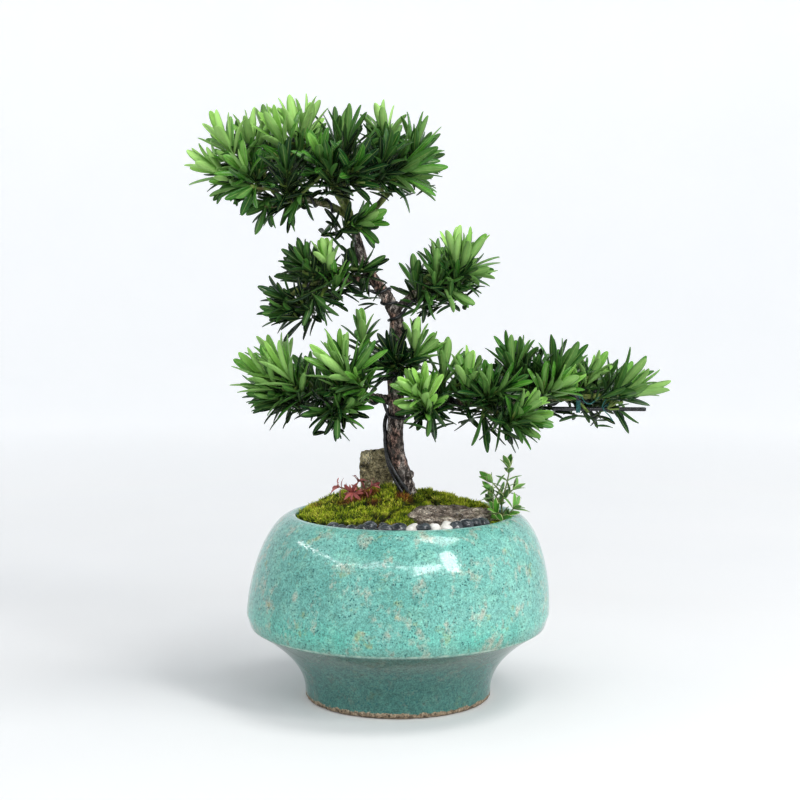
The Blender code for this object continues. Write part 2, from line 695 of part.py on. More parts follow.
def soil_mesh(name, lift=0.0):
    """The pot's filling. Lift raises its top, to cut what lies on it."""
    wall = inner_wall(GAP)
    floor = wall[0][1]
    over_mesh = floor + MESH_THICKNESS + GAP
    pocket = (MESH_RADIUS + GAP) / math.cos(math.pi / SOIL_SIDES)
    section = [(0, over_mesh), (pocket, over_mesh), (pocket, floor)] + wall
    rings = [SOIL_RIM] + [SOIL_RIM * ring for ring in SOIL_RINGS]
    bm = bmesh.new()
    verts = [bm.verts.new((radius, 0, height)) for radius, height in section]
    tops = [bm.verts.new((radius, 0, SOIL_LEVEL)) for radius in rings]
    centre = bm.verts.new((0, 0, SOIL_LEVEL))
    chain = verts + tops + [centre]
    edges = [bm.edges.new(pair) for pair in zip(chain, chain[1:])]
    bmesh.ops.spin(
        bm, geom=chain + edges, cent=(0, 0, 0), axis=(0, 0, 1), dvec=(0, 0, 0), angle=2 * math.pi,
        steps=SOIL_SIDES, use_merge=True,
    )
    bmesh.ops.remove_doubles(bm, verts=bm.verts, dist=0.01 * MM)
    for vert in bm.verts:
        vert.co.x += mouth_lean(vert.co.z)
        if vert.co.z > SOIL_LEVEL - 0.1 * MM:
            vert.co.z = ground_height(vert.co.x, vert.co.y) + lift
    bmesh.ops.triangulate(bm, faces=bm.faces, quad_method="FIXED")
    return mesh_from(bm, name)


def outline_radius(outline, centre, angle):
    """How far a closed outline lies from the centre in one direction, rounded between its points."""
    polar = sorted(
        (math.atan2(y - centre[1], x - centre[0]) % (2 * math.pi), math.hypot(x - centre[0], y - centre[1]))
        for x, y in outline
    )
    polar = [(polar[-1][0] - 2 * math.pi, polar[-1][1])] + polar + [(polar[0][0] + 2 * math.pi, polar[0][1])]
    for (low, near), (high, far) in zip(polar, polar[1:]):
        if low <= angle <= high:
            share = (angle - low) / (high - low)
            return near + (far - near) * (3 * share**2 - 2 * share**3)
    return polar[0][1]


MOSS = {
    "moss_left": {
        "centre": (-33, 12), "thickness": 9, "segments": 16,
        "outline": [
            (-72, -12), (-72.5, 10), (-64, 33), (-46, 54), (-22, 67), (0, 69), (1, 42), (18, 26), (20, 8),
            (8, 1), (-4, -12), (-10, -28), (-24, -44), (-42, -46), (-58, -36), (-68, -24),
        ],
    },
    "moss_right": {
        "centre": (40, 38), "thickness": 7, "segments": 12,
        "outline": [
            (10, 46), (8, 69), (30, 65), (51, 50), (64, 33), (70, 16),
            (60, 8), (46, 8), (32, 10), (26, 19), (24, 30),
        ],
    },
}


def moss_mesh(name, generator):
    """A mound of moss that follows the ground, with an uneven top."""
    shape = MOSS[name]
    centre = Vector(shape["centre"]) * MM
    outline = [Vector(point) * MM for point in shape["outline"]]
    bm = bmesh.new()
    bmesh.ops.create_uvsphere(bm, u_segments=shape["segments"], v_segments=4, radius=1)
    for vert in bm.verts:
        level = round(vert.co.z, 2)
        angle = math.atan2(vert.co.y, vert.co.x) % (2 * math.pi)
        spread = math.hypot(vert.co.x, vert.co.y) * (MOSS_FOOT if level < 0 else 1)
        reach = outline_radius(outline, centre, angle) * spread
        x = centre.x + reach * math.cos(angle)
        y = centre.y + reach * math.sin(angle)
        rise = shape["thickness"] * MM * max(vert.co.z, 0) ** 0.5 * generator.uniform(0.82, 1.12)
        if level == 0:
            rise = MOSS_EDGE
        elif level < 0:
            rise = -MOSS_SINK
        vert.co = (x, y, ground_height(x, y) + rise)
    return mesh_from(bm, name)


def standing_stone_mesh(name, grow=0.0):
    """The upright rock behind the trunk: a rough block with worn corners, high on its right."""
    generator = random.Random(SEED)
    bm = bmesh.new()
    bmesh.ops.create_cube(bm, size=2)
    bmesh.ops.subdivide_edges(bm, edges=bm.edges[:], cuts=2, use_grid_fill=True)
    for vert in bm.verts:
        worn = vert.co.lerp(vert.co.normalized(), ROCK_ROUNDNESS) * generator.uniform(0.93, 1.03)
        worn.z *= 1 + ROCK_SLANT * worn.x
        vert.co = [part * (half + grow) for part, half in zip(worn, ROCK_HALF)]
    bmesh.ops.transform(bm, matrix=Matrix.Translation(ROCK_PLACE), verts=bm.verts)
    return mesh_from(bm, name)


def flat_stone_mesh(name, layers=STONE_LAYERS, unevenness=0.03):
    """The low layered rock in front on the right, tilted down to the front. Layers is each level's
    height in mm and its share of the outline, top one first."""
    generator = random.Random(SEED + 1)
    reach = [generator.uniform(0.84, 1.08) for _ in range(STONE_SIDES)]
    bm = bmesh.new()
    bmesh.ops.create_cone(bm, cap_ends=True, segments=STONE_SIDES, radius1=1, radius2=1, depth=1)
    side_edges = [edge for edge in bm.edges if abs(edge.verts[0].co.z - edge.verts[1].co.z) > 0.5]
    if len(layers) > 2:
        bmesh.ops.subdivide_edges(bm, edges=side_edges, cuts=len(layers) - 2)
    for vert in bm.verts:
        height, share = layers[round((0.5 - vert.co.z) * (len(layers) - 1))]
        turn = math.atan2(vert.co.y, vert.co.x)
        index = round(turn / (2 * math.pi) * STONE_SIDES) % STONE_SIDES
        wide = reach[index] * share * generator.uniform(1 - unevenness, 1 + unevenness)
        vert.co = Vector((
            STONE_HALF[0] * wide * math.cos(turn), STONE_HALF[1] * wide * math.sin(turn), height * MM,
        ))
    turned_place = Matrix.Rotation(STONE_TILT, 4, "X") @ Matrix.Rotation(STONE_SPIN, 4, "Z")
    bmesh.ops.transform(bm, matrix=Matrix.Translation(STONE_PLACE) @ turned_place, verts=bm.verts)
    return mesh_from(bm, name)


def flat_stone_bed_mesh(name):
    """The hollow that the flat rock lies in: its widest outline, a little wider and deeper."""
    return flat_stone_mesh(name, STONE_BED, unevenness=0.0)


def pebble_mesh(name, radius, turn, generator, scale=1.0):
    """One rounded pebble on the ring of this radius round the mouth, at this angle from +X, on the soil."""
    x = MOUTH_SHIFT + radius * math.cos(math.radians(turn))
    y = radius * math.sin(math.radians(turn))
    bm = bmesh.new()
    bmesh.ops.create_uvsphere(bm, u_segments=6, v_segments=3, radius=1)
    size = [part * scale * generator.uniform(0.96, 1.04) for part in PEBBLE_SIZE]
    size = (size[0] / PEBBLE_RING, size[1] / PEBBLE_RING, size[2])
    spin = Matrix.Rotation(math.radians(turn + 90 + generator.uniform(-9, 9)), 4, "Z")
    place = Matrix.Translation((x, y, ground_height(x, y) + size[2] + PEBBLE_LIFT))
    bmesh.ops.transform(bm, matrix=place @ spin @ Matrix.Diagonal((*size, 1)), verts=bm.verts)
    return mesh_from(bm, name)


def pebble_places():
    """The dark pebbles' rings and angles, leaving room for the white ones in the inner row."""
    places = []
    for row, (radius, first, last) in enumerate(PEBBLE_ROWS):
        step = math.degrees(PEBBLE_PITCH / radius)
        count = int((last - first) / step)
        for index in range(count + 1):
            turn = first + index * step
            beside = [white for white in WHITE_PEBBLES if abs(turn - white) < WHITE_PEBBLE_ROOM * step]
            if row == 0 or not beside:
                places.append((radius, turn))
    return places


def make_ground(collection, cutters, materials):
    """The soil with its holes, the moss, the rocks and the pebbles."""
    generator = random.Random(SEED + 2)
    soil = finish_object("soil", soil_mesh("soil"), materials["soil"], collection)
    standing = standing_stone_mesh("standing_stone")
    finish_object("standing_stone", standing, materials["grey_stone"], collection, smooth_angle=25)
    cut(soil, standing_stone_mesh("standing_stone_bed", grow=4 * GAP), cutters, "standing_stone_bed")
    finish_object("flat_stone", flat_stone_mesh("flat_stone"), materials["slate"], collection, smooth_angle=25)
    cut(soil, flat_stone_bed_mesh("flat_stone_bed"), cutters, "flat_stone_bed")
    dark = [pebble_mesh("pebble", radius, turn, generator) for radius, turn in pebble_places()]
    finish_object("dark_pebbles", union_of(dark, "dark_pebbles"), materials["dark_pebble"], collection)
    for number, turn in enumerate(WHITE_PEBBLES, 1):
        name = f"white_pebble_{number}"
        mesh = pebble_mesh(name, WHITE_PEBBLE_RADIUS, turn, generator, WHITE_PEBBLE_SCALE)
        finish_object(name, mesh, materials["white_pebble"], collection)
    moss = []
    for name in MOSS:
        patch = finish_object(name, moss_mesh(name, generator), materials["moss"], collection, smooth_angle=60)
        cut(patch, soil_mesh(name + "_ground", lift=GAP), cutters, name + "_ground")
        moss.append(patch)
    cut(moss[0], standing_stone_mesh("moss_left_stone", grow=4 * GAP), cutters, "moss_left_stone")
    cut(moss[0], flat_stone_bed_mesh("moss_left_slab"), cutters, "moss_left_slab")
    cut(moss[1], flat_stone_bed_mesh("moss_right_slab"), cutters, "moss_right_slab")
    return soil, moss


# Wood


def limb_mesh(name):
    path = limb_path(name, TRUNK_RINGS if name == "trunk" else LIMB_RINGS)
    resolution = 2 if name == "trunk" else 1
    return tube_mesh([Vector(point[:3]) for point in path], [point[3] for point in path], resolution)


def make_wood(collection, materials):
    mesh = union_of([limb_mesh(name) for name in LIMBS], "trunk")
    finish_object("trunk", mesh, materials["bark"], collection, smooth_angle=50)
    return mesh


def tree_of(mesh):
    """A search tree over the mesh's faces."""
    points = [vert.co.copy() for vert in mesh.vertices]
    return BVHTree.FromPolygons(points, [tuple(face.vertices) for face in mesh.polygons])


class Obstacles:
    """The meshes already placed, by owner, with a test of whether a new piece meets one."""

    def __init__(self):
        self.placed = []

    def add(self, owner, points, faces):
        tree = BVHTree.FromPolygons(points, faces)
        low = Vector([min(point[axis] for point in points) for axis in range(3)])
        high = Vector([max(point[axis] for point in points) for axis in range(3)])
        self.placed.append((owner, tree, low, high))

    def add_mesh(self, owner, mesh):
        points = [vert.co.copy() for vert in mesh.vertices]
        self.add(owner, points, [tuple(face.vertices) for face in mesh.polygons])

    def meets(self, owner, points, faces, own=False):
        """Whether the shape meets another owner's mesh or, with own set, its own owner's."""
        low = Vector([min(point[axis] for point in points) for axis in range(3)])
        high = Vector([max(point[axis] for point in points) for axis in range(3)])
        tree = None
        for other, placed, other_low, other_high in self.placed:
            apart = any(low[axis] > other_high[axis] or high[axis] < other_low[axis] for axis in range(3))
            if apart or (other == owner) != own:
                continue
            tree = tree or BVHTree.FromPolygons(points, faces)
            if tree.overlap(placed):
                return True
        return False

    def push_clear(self, point, clearance):
        """The point moved until it is this far outside every placed mesh."""
        for _ in range(4):
            for _, tree, _, _ in self.placed:
                near, normal, _, distance = tree.find_nearest(point, clearance * 3)
                if near is None:
                    continue
                inside = (point - near).dot(normal) < 0
                if inside or distance < clearance:
                    away = normal if inside or distance < 0.05 * MM else (point - near).normalized()
                    point = near + away * clearance
        return point


# Wires


def wound(limb, start, end, turns, first_angle, stand_off, radius):
    """Points of a coil round the limb, clear of its bark."""
    path = limb_path(limb, 1 * MM)
    first = round(start * (len(path) - 1))
    last = round(end * (len(path) - 1))
    side = Vector((0, -1, 0)) if limb == "trunk" else Vector((0, 0, 1))
    points = []
    for index in range(first, last + 1):
        here = Vector(path[index][:3])
        ahead = Vector(path[min(index + 1, len(path) - 1)][:3])
        behind = Vector(path[max(index - 1, 0)][:3])
        tangent = (ahead - behind).normalized()
        across = (side - tangent * side.dot(tangent)).normalized()
        share = (index - first) / max(last - first, 1)
        angle = math.radians(first_angle) + 2 * math.pi * turns * share
        outward = across * math.cos(angle) + tangent.cross(across) * math.sin(angle)
        lifted = stand_off * MM * math.sin(math.pi * share)
        points.append(here + outward * (path[index][3] + radius + CLEARANCE + lifted))
    return points


def make_wires(collection, materials, obstacles):
    """The round wires wound on the trunk and the main limbs. Returns each one's points and radius."""
    routes = {}
    for name, (radius, stretches) in WIRES.items():
        radius *= MM
        route = []
        for stretch in stretches:
            route += wound(*stretch, radius)[:: 3]
        path = smooth_path(route, WIRE_SMOOTHING)
        for _ in range(4):
            path = [obstacles.push_clear(point, radius + CLEARANCE) for point in path]
            middles = [before.lerp(after, 0.5) for before, after in zip(path, path[2:])]
            path = path[:1] + [point.lerp(middle, 0.5) for point, middle in zip(path[1:], middles)] + path[-1:]
        path = smooth_path(path, WIRE_RINGS * radius)
        path = [obstacles.push_clear(point, radius + 1.6 * CLEARANCE) for point in path]
        mesh = tube_mesh(path, [radius] * len(path), 0)
        finish_object(name, mesh, materials["wire"], collection)
        obstacles.add_mesh(name, mesh)
        routes[name] = (path, radius)
    return routes


def make_brace_rod(collection, materials, obstacles):
    """The rod under the long branch, which lies against the underside of the wire's turns."""
    *ends, radius = BRACE_ROD
    mesh = tube_mesh([Vector(end) * MM for end in ends], [radius * MM] * 2, 1)
    finish_object("brace_rod", mesh, materials["wire"], collection)
    obstacles.add_mesh("brace_rod", mesh)


# Foliage


def leaf_shape(root, tip, outer, grow=0.0, width=LEAF_WIDTH):
    """Points and faces of one blade: flat above, ridged below, widest past its middle.

    Outer is the side that the blade bends and shows its ridge to. Grow thickens it, for tests.
    """
    length = (tip - root).length + grow
    along = (tip - root).normalized()
    below = (outer - along * outer.dot(along)).normalized()
    side = along.cross(below)
    bm = bmesh.new()
    bmesh.ops.create_uvsphere(bm, u_segments=3, v_segments=3, radius=1)
    stations = {-1: (0.0, 0.0, 0.0), 0: (0.32, 0.5, 0.01), 1: (0.66, 1.0, 0.05), 2: (1.0, 0.0, 0.13)}
    for vert in bm.verts:
        level = -1 if vert.co.z < -0.9 else 2 if vert.co.z > 0.9 else int(vert.co.z > 0)
        share, wide, bend = stations[level]
        spread = 0.0
        ridge = 0.0
        if level in (0, 1):
            spread = vert.co.y / math.sin(math.radians(120)) * (width / 2 * wide + grow)
            ridge = LEAF_RIDGE + grow if vert.co.x > 0.5 else -grow
        place = root + along * length * share + below * (length * bend + ridge)
        vert.co = place + side * spread
    points = [vert.co.copy() for vert in bm.verts]
    faces = [tuple(vert.index for vert in face.verts) for face in bm.faces]
    bm.free()
    return points, faces


def mesh_of(points, faces, name):
    mesh = bpy.data.meshes.new(name)
    mesh.from_pydata(points, [], faces)
    return mesh


def cone_direction(axis, turn, spread):
    """A direction at the angle spread from the axis, turned round it."""
    side = axis.orthogonal().normalized()
    outward = side * math.cos(turn) + axis.cross(side) * math.sin(turn)
    return axis * math.cos(spread) + outward * math.sin(spread)


def shoot_leaves(points, tip, count, generator):
    """Each leaf's root, the twig's direction there, its length, its turn and its spread, top one first."""
    lead, base, end = points[-3:]
    axis = (tip - base).normalized()
    reach = min(max((tip - base).length - SHOOT_AXIS, 0.8 * LEAF_LENGTH), 1.1 * LEAF_LENGTH)
    phase = generator.uniform(0, 2 * math.pi)
    leaves = []
    for index in range(count):
        level = index / (count - 1)
        turn = phase + index * GOLDEN_ANGLE
        if index == 0:
            leaves.append((end - axis * LEAF_ROOT_DEPTH, axis, reach, turn, TOP_SPREAD))
        elif index < count - 1:
            root = base.lerp(end, 0.9 - 0.9 * level)
            leaves.append((root, axis, reach, turn, TOP_SPREAD + SPREAD_GAIN * level))
        else:
            root = lead.lerp(base, 0.55)
            leaves.append((root, (base - lead).normalized(), 0.9 * reach, turn, FOOT_SPREAD))
    return leaves


def twig_meshes(name, limb, share, shoots, obstacles, generator):
    """The spray's twigs, each a tube on four points, bent until it meets nothing else."""
    bases = [Vector(shoot[:3]) * MM for shoot in shoots]
    tips = [Vector(shoot[3:6]) * MM for shoot in shoots]
    tubes = []
    stem = None
    for number, (base, tip) in enumerate(zip(bases, tips)):
        axis = (tip - base).normalized()
        end = base + axis * SHOOT_AXIS
        for attempt in range(TWIG_TRIES):
            if number == 0:
                slide = generator.uniform(-0.05, 0.05) * min(attempt / 20, 1) if share < 1 else 0
                at, tangent, radius = limb_at(limb, min(max(share + slide, 0.02), 1))
                towards = base - at
                radial = (towards - tangent * towards.dot(tangent)).normalized()
                if share >= 1:
                    radial = tangent
                    start = at + tangent * (GAP * 1.5)
                else:
                    start = at + radial * (radius + GAP * 1.5)
                lead = start + radial * min(towards.length * 0.3, TWIG_LEAD)
                points = [start, lead, base, end]
            else:
                fork = stem[0].lerp(stem[1], 0.7) if number % 2 else stem[1].lerp(stem[2], 0.35)
                points = [fork, base, end]
            shift = Vector([generator.uniform(-1, 1) for _ in range(3)]) * TWIG_SHIFT * attempt / TWIG_TRIES
            points[-2] = points[-2] + shift
            points[-1] = points[-1] + shift
            if number == 0:
                points[1] = points[1] + shift * 0.4
            thick = TWIG_RADIUS if number == 0 else SIDE_TWIG_RADIUS
            radii = [thick] * (len(points) - 1) + [thick * 0.8]
            test = tube_mesh(points, [radius_here + CLEARANCE * 0.6 for radius_here in radii], 0)
            test_points = [vert.co.copy() for vert in test.vertices]
            test_faces = [tuple(face.vertices) for face in test.polygons]
            # The first face ring stands close to its limb on purpose, so it is tested at its true size.
            if number == 0:
                for point, vert in zip(test_points, test.vertices):
                    if (vert.co - points[0]).length < 3 * TWIG_RADIUS:
                        point += (points[0] + radial * 0.1 * MM - point) * 0.35
            bpy.data.meshes.remove(test)
            if not obstacles.meets(name, test_points, test_faces):
                break
        if number == 0:
            stem = points
        mesh = tube_mesh(points, radii, 0)
        obstacles.add_mesh(name, mesh)
        tubes.append((mesh, points))
    return tubes


def leaf_root(inside, direction, axis, twig):
    """Where a blade starts, under the middle of the twig's face that it leaves by."""
    radial = (direction - axis * direction.dot(axis)).normalized()
    hit, normal, _, _ = twig.ray_cast(inside, radial)
    return inside + normal * max((hit - inside).dot(normal) - LEAF_ROOT_DEPTH, 0)


def clear_leaves(name, points, twig, shoot, obstacles, generator):
    """The shoot's leaves, each turned until it meets nothing of another piece, or left out."""
    tip = points[-2] + (Vector(shoot[3:6]) - Vector(shoot[:3])) * MM
    count = LEAVES_PER_SHOOT + (shoot[6] >= LIGHT_SHOOT)
    meshes = []
    for index, (inside, axis, reach, turn, spread) in enumerate(shoot_leaves(points, tip, count, generator)):
        for attempt in range(LEAF_TRIES):
            sway = LEAF_SWAY * ((attempt + 1) // 2) * (-1) ** attempt
            opened = max(spread - LEAF_CLOSING * (attempt // 3), LEAF_CLOSING)
            direction = cone_direction(axis, turn + sway, opened)
            root = leaf_root(inside, direction, axis, twig) if index > 0 else inside
            blade_tip = root + direction * reach
            outer = direction - axis
            if outer.length < 0.15:
                outer = axis.orthogonal()
            test = leaf_shape(root, blade_tip, outer, grow=CLEARANCE)
            outer_half = leaf_shape(root + direction * ROOT_ROOM, blade_tip, outer, grow=CLEARANCE / 2)
            if not obstacles.meets(name, *test) and not obstacles.meets(name, *outer_half, own=True):
                shape = leaf_shape(root, blade_tip, outer)
                meshes.append(mesh_of(*shape, "leaf"))
                obstacles.add(name, *shape)
                break
    return meshes


def make_sprays(collection, obstacles):
    """One node for each spray: its twigs and leaves joined in one solid."""
    generator = random.Random(SEED + 3)
    twigs = {}
    for name, (limb, share, shoots) in SPRAYS.items():
        twigs[name] = twig_meshes(name, limb, share, shoots, obstacles, generator)
    for name, (limb, share, shoots) in SPRAYS.items():
        meshes = [mesh for mesh, _ in twigs[name]]
        for (mesh, points), shoot in zip(twigs[name], shoots):
            twig = tree_of(mesh)
            meshes += clear_leaves(name, points, twig, shoot, obstacles, generator)
        lightness = sum(shoot[6] for shoot in shoots) / len(shoots)
        surface = material(name, DARK_LEAF.lerp(LIGHT_LEAF, lightness), roughness=0.35)
        finish_object("spray_" + name, union_of(meshes, "spray_" + name), surface, collection)


def make_small_plant(name, plant, surface, collection, obstacles, generator):
    """A stem with side branches and pairs of leaves up each."""
    length, width = (part * MM for part in plant["leaf"])
    meshes = []
    for route in [plant["stem"]] + plant["branches"]:
        points = [Vector(point) * MM for point in route]
        meshes.append(tube_mesh(points, [STEM_RADIUS] * len(points), 0))
        along = (points[-1] - points[-2]).normalized()
        start = 1 if route is not plant["stem"] else 2
        turn = generator.uniform(0, math.pi)
        for point in points[start:]:
            turn += math.pi / 2
            for side in (0, math.pi):
                direction = cone_direction(along, turn + side, SMALL_LEAF_SPREAD)
                root = point - along * LEAF_ROOT_DEPTH
                shape = leaf_shape(root, root + direction * length, direction - along, width=width)
                meshes.append(mesh_of(*shape, "leaf"))
    mesh = union_of(meshes, name)
    finish_object(name, mesh, surface, collection)
    obstacles.add_mesh(name, mesh)


def stem_hole_mesh(route, name):
    """The hole that a small plant's stem stands in."""
    points = [Vector(point) * MM for point in route]
    mesh = tube_mesh(points, [STEM_HOLE_RADIUS] * len(points), 1)
    mesh.name = name
    return mesh


def make_holes(soil, moss, wires, cutters):
    """Plain holes in the soil and the moss for the trunk, the wires and the small plants' stems."""
    trunk_foot = [point for point in limb_path("trunk", TRUNK_RINGS) if point[2] < HOLES_TOP]
    points = [Vector(point[:3]) for point in trunk_foot]
    points.insert(0, points[0] - Vector((0, 0, 1 * MM)))
    radii = [trunk_foot[0][3] + 2 * GAP] + [point[3] + 2 * GAP for point in trunk_foot]
    for target, suffix in ((soil, "soil"), (moss[0], "moss"), (moss[1], "moss_right")):
        cut(target, tube_mesh(points, radii, 2), cutters, "trunk_hole_" + suffix)
    for wire in ("wire_trunk", "wire_long"):
        path, radius = wires[wire]
        low = [point for point in path if point.z < HOLES_TOP]
        low.insert(0, low[0] + (low[0] - low[1]).normalized() * 1 * MM)
        for target, suffix in ((soil, "_soil_hole"), (moss[0], "_moss_hole")):
            cut(target, tube_mesh(low, [radius + 1.5 * GAP] * len(low), 0), cutters, wire + suffix)
    red = RED_PLANT["stem"][:2]
    low = (red[0][0], red[0][1], red[0][2] - 1)
    high = (red[1][0], red[1][1], red[1][2] + 6)
    for target, suffix in ((soil, "soil"), (moss[0], "moss")):
        name = "red_plant_hole_" + suffix
        cut(target, stem_hole_mesh([low, high], name), cutters, name)
    stem = VARIEGATED_PLANT["stem"]
    low = (stem[0][0], stem[0][1], stem[0][2] - 1)
    name = "variegated_plant_hole"
    cut(soil, stem_hole_mesh([low, stem[1]], name), cutters, name)


def centre_on_footprint(root, collection):
    """Moves the whole so that the middle of its footprint is at the origin."""
    bpy.context.view_layer.update()
    graph = bpy.context.evaluated_depsgraph_get()
    corners = []
    for obj in collection.objects:
        if obj.type == "MESH":
            shown = obj.evaluated_get(graph)
            corners += [shown.matrix_world @ Vector(corner) for corner in shown.bound_box]
    for axis in (0, 1):
        places = [corner[axis] for corner in corners]
        root.location[axis] = -(min(places) + max(places)) / 2


def main():
    clear_scene()
    collection = new_collection("buddhist_pine_bonsai")
    cutters = new_collection("cutters")
    materials = {name: material(name, colour, ROUGHNESS.get(name, 0.85)) for name, colour in COLOURS.items()}
    obstacles = Obstacles()
    make_pot(collection, materials)
    make_drain_mesh(collection, cutters, materials)
    soil, moss = make_ground(collection, cutters, materials)
    wood = make_wood(collection, materials)
    obstacles.add_mesh("trunk", wood)
    wires = make_wires(collection, materials, obstacles)
    make_brace_rod(collection, materials, obstacles)
    make_holes(soil, moss, wires, cutters)
    generator = random.Random(SEED + 4)
    for name, plant, surface in (
        ("red_plant", RED_PLANT, materials["red_leaf"]),
        ("variegated_plant", VARIEGATED_PLANT, materials["cream_leaf"]),
    ):
        make_small_plant(name, plant, surface, collection, obstacles, generator)
    make_sprays(collection, obstacles)
    root = bpy.data.objects.new("root", None)
    collection.objects.link(root)
    for obj in list(collection.objects) + list(cutters.objects):
        if obj is not root:
            obj.parent = root
    centre_on_footprint(root, collection)


main()
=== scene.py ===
"""The looks of a wired Buddhist pine bonsai in a round glazed pot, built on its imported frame.

Points are worked out round the pot's axis, in metres, with -Y to the front and the pot's foot on z = 0,
and are moved to the frame's own origin as a mesh is stored.
"""

import math
import random

import bmesh
import bpy
import numpy as np
from mathutils import Matrix, Vector, noise
from mathutils.bvhtree import BVHTree


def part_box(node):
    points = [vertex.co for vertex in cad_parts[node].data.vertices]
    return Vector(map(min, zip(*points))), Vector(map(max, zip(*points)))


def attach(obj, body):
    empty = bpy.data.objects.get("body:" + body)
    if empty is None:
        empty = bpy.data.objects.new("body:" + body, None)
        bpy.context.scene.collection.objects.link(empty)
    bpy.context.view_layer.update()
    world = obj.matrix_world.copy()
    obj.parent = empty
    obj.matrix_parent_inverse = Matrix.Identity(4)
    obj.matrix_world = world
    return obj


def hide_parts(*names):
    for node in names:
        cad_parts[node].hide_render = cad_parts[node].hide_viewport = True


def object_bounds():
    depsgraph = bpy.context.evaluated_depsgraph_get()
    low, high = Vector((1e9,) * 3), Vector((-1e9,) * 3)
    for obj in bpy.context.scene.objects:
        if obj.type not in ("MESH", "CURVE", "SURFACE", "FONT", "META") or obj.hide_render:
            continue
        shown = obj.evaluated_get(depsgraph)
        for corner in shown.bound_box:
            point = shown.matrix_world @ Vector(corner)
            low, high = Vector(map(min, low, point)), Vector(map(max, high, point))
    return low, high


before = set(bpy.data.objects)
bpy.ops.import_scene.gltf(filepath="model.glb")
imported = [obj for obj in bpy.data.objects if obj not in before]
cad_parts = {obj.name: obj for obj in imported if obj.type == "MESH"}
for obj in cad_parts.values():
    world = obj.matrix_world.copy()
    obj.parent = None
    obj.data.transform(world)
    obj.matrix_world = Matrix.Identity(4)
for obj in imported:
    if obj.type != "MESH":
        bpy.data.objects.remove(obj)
CAD_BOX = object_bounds()

MM = 0.001
SEED = 21
PEBBLE_SEED = 13

# How fine the skins of the moss, the rocks and the bark are, how many sides limbs and wires have, and the
# share of its radius that a wire keeps at its cut ends
MOSS_SKIN = 1.0 * MM
STANDING_ROCK_SKIN = 0.6 * MM
FLAT_ROCK_SKIN = 0.7 * MM
BARK_SKIN = 0.6 * MM
LIMB_SIDES = 20
WIRE_SIDES = 14
CUT_END = 0.82

# The pot's place in the frame
POT_LOW, POT_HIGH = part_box("pot")
AXIS = Vector(((POT_LOW.x + POT_HIGH.x) / 2, (POT_LOW.y + POT_HIGH.y) / 2, 0))

# Pot
BELLY_RADIUS = (POT_HIGH.x - POT_LOW.x) / 2
POT_HEIGHT = POT_HIGH.z
BELLY_HEIGHT = 64 * MM
LIP_RADIUS = 81.5 * MM
LIP_THICKNESS = 6 * MM
MOUTH_SHIFT = 3.7 * MM
WALL = 6.5 * MM
SHOULDER_ROUNDNESS = 1.85
EDGE_WALL = 7.5 * MM
EDGE_RADIUS = 109 * MM
EDGE_HEIGHT = 54 * MM
FOOT_RADIUS = 69 * MM
FOOT_RING_WIDTH = 9 * MM
FOOT_RECESS = 5 * MM
FLARE_CURVE = 2.15
FLOOR_THICKNESS = 9 * MM
FLOOR_RADIUS = 59 * MM
DRAIN_RADIUS = 8 * MM
POT_SIDES = 160

# Ground
SOIL_LEVEL = 129.5 * MM
SOIL_RIM = LIP_RADIUS - 1.7 * MM
SOIL_GAP = 0.15 * MM
SOIL_EDGE = 6 * MM
SOIL_CENTRE = 0.4 * MM
DRAIN_ROOM = 2 * MM
DRAIN_ROOM_RADIUS = 20 * MM
CRUMB_HEIGHT = 0.7 * MM
SOIL_RINGS = 50
SOIL_SIDES = 150
MOUND_HEIGHT = 16 * MM
MOUND_CENTRE = (-5 * MM, 28 * MM)
MOUND_SPREAD = (46 * MM, 40 * MM)
MOUND_REACH = (68 * MM, 79 * MM)

# Loose crumbs of soil: how many, how far from the middle, and their least and greatest size in mm.
GRAIN_COUNT = 2600
GRAIN_REACH = 76 * MM
GRAIN_SIZE = (0.6, 1.7)

# Pebbles: half of one's sizes, the scale of the rows' dark ones (False) and white ones (True), each row's
# radius round the mouth with its first and last angle, and the angles of the three larger white ones.
PEBBLE_SIZE = (5.4 * MM, 4.9 * MM, 4.7 * MM)
PEBBLE_PITCH = 8.6 * MM
PEBBLE_LIFT = 0.8 * MM
SUNK_BEFORE = 266
SUNK_SPAN = 10
SUNK_DEPTH = 3.2 * MM
ROW_SCALE = {False: 1.04, True: 0.82}
PEBBLE_ROWS = ((71.5 * MM, 226, 326), (63 * MM, 284, 292))
WHITE_PEBBLES = (277, 300, 316)
WHITE_IN_ROW = (7, 9, 10)
WHITE_PEBBLE_RADIUS = 61.5 * MM
WHITE_PEBBLE_SCALE = 0.84

# Loose pebbles that only fill in: radius round the mouth in mm, angle, scale and lift in mm.
LOOSE_DARK = (
    (62.5, 248, 0.95, 0), (62, 257, 0.9, 0), (62.5, 265.5, 0.9, 0), (66, 331, 0.8, 0), (62, 324, 0.7, 1),
)
LOOSE_WHITE = ((64.5, 271, 0.72, 0), (66.5, 288, 0.6, 3.2), (65.5, 308, 0.75, 0), (67, 295.5, 0.55, 3.0))

# Brown patches in the moss: x, y and radius in mm.
DRY_MOSS = ((-18, -6, 6), (-14, -48, 13), (4, 6, 7), (-26, 20, 6), (-2, -45, 10))

# The moss's shoots: height and width in mm, how many on each node, and patches of them that creep over
# the bare soil, as x, y, radius in mm and number.
MOSS_TALL = (2.2, 4.8)
MOSS_WIDE = (0.45, 0.85)
MOSS_SHOOTS = {"moss_left": 11000, "moss_right": 6000}
MOSS_PATCHES = (
    (6, -8, 12, 900), (2, -28, 10, 700), (-4, -46, 10, 700), (14, 8, 12, 900), (70, -22, 8, 500),
    (76, 4, 9, 700),
)

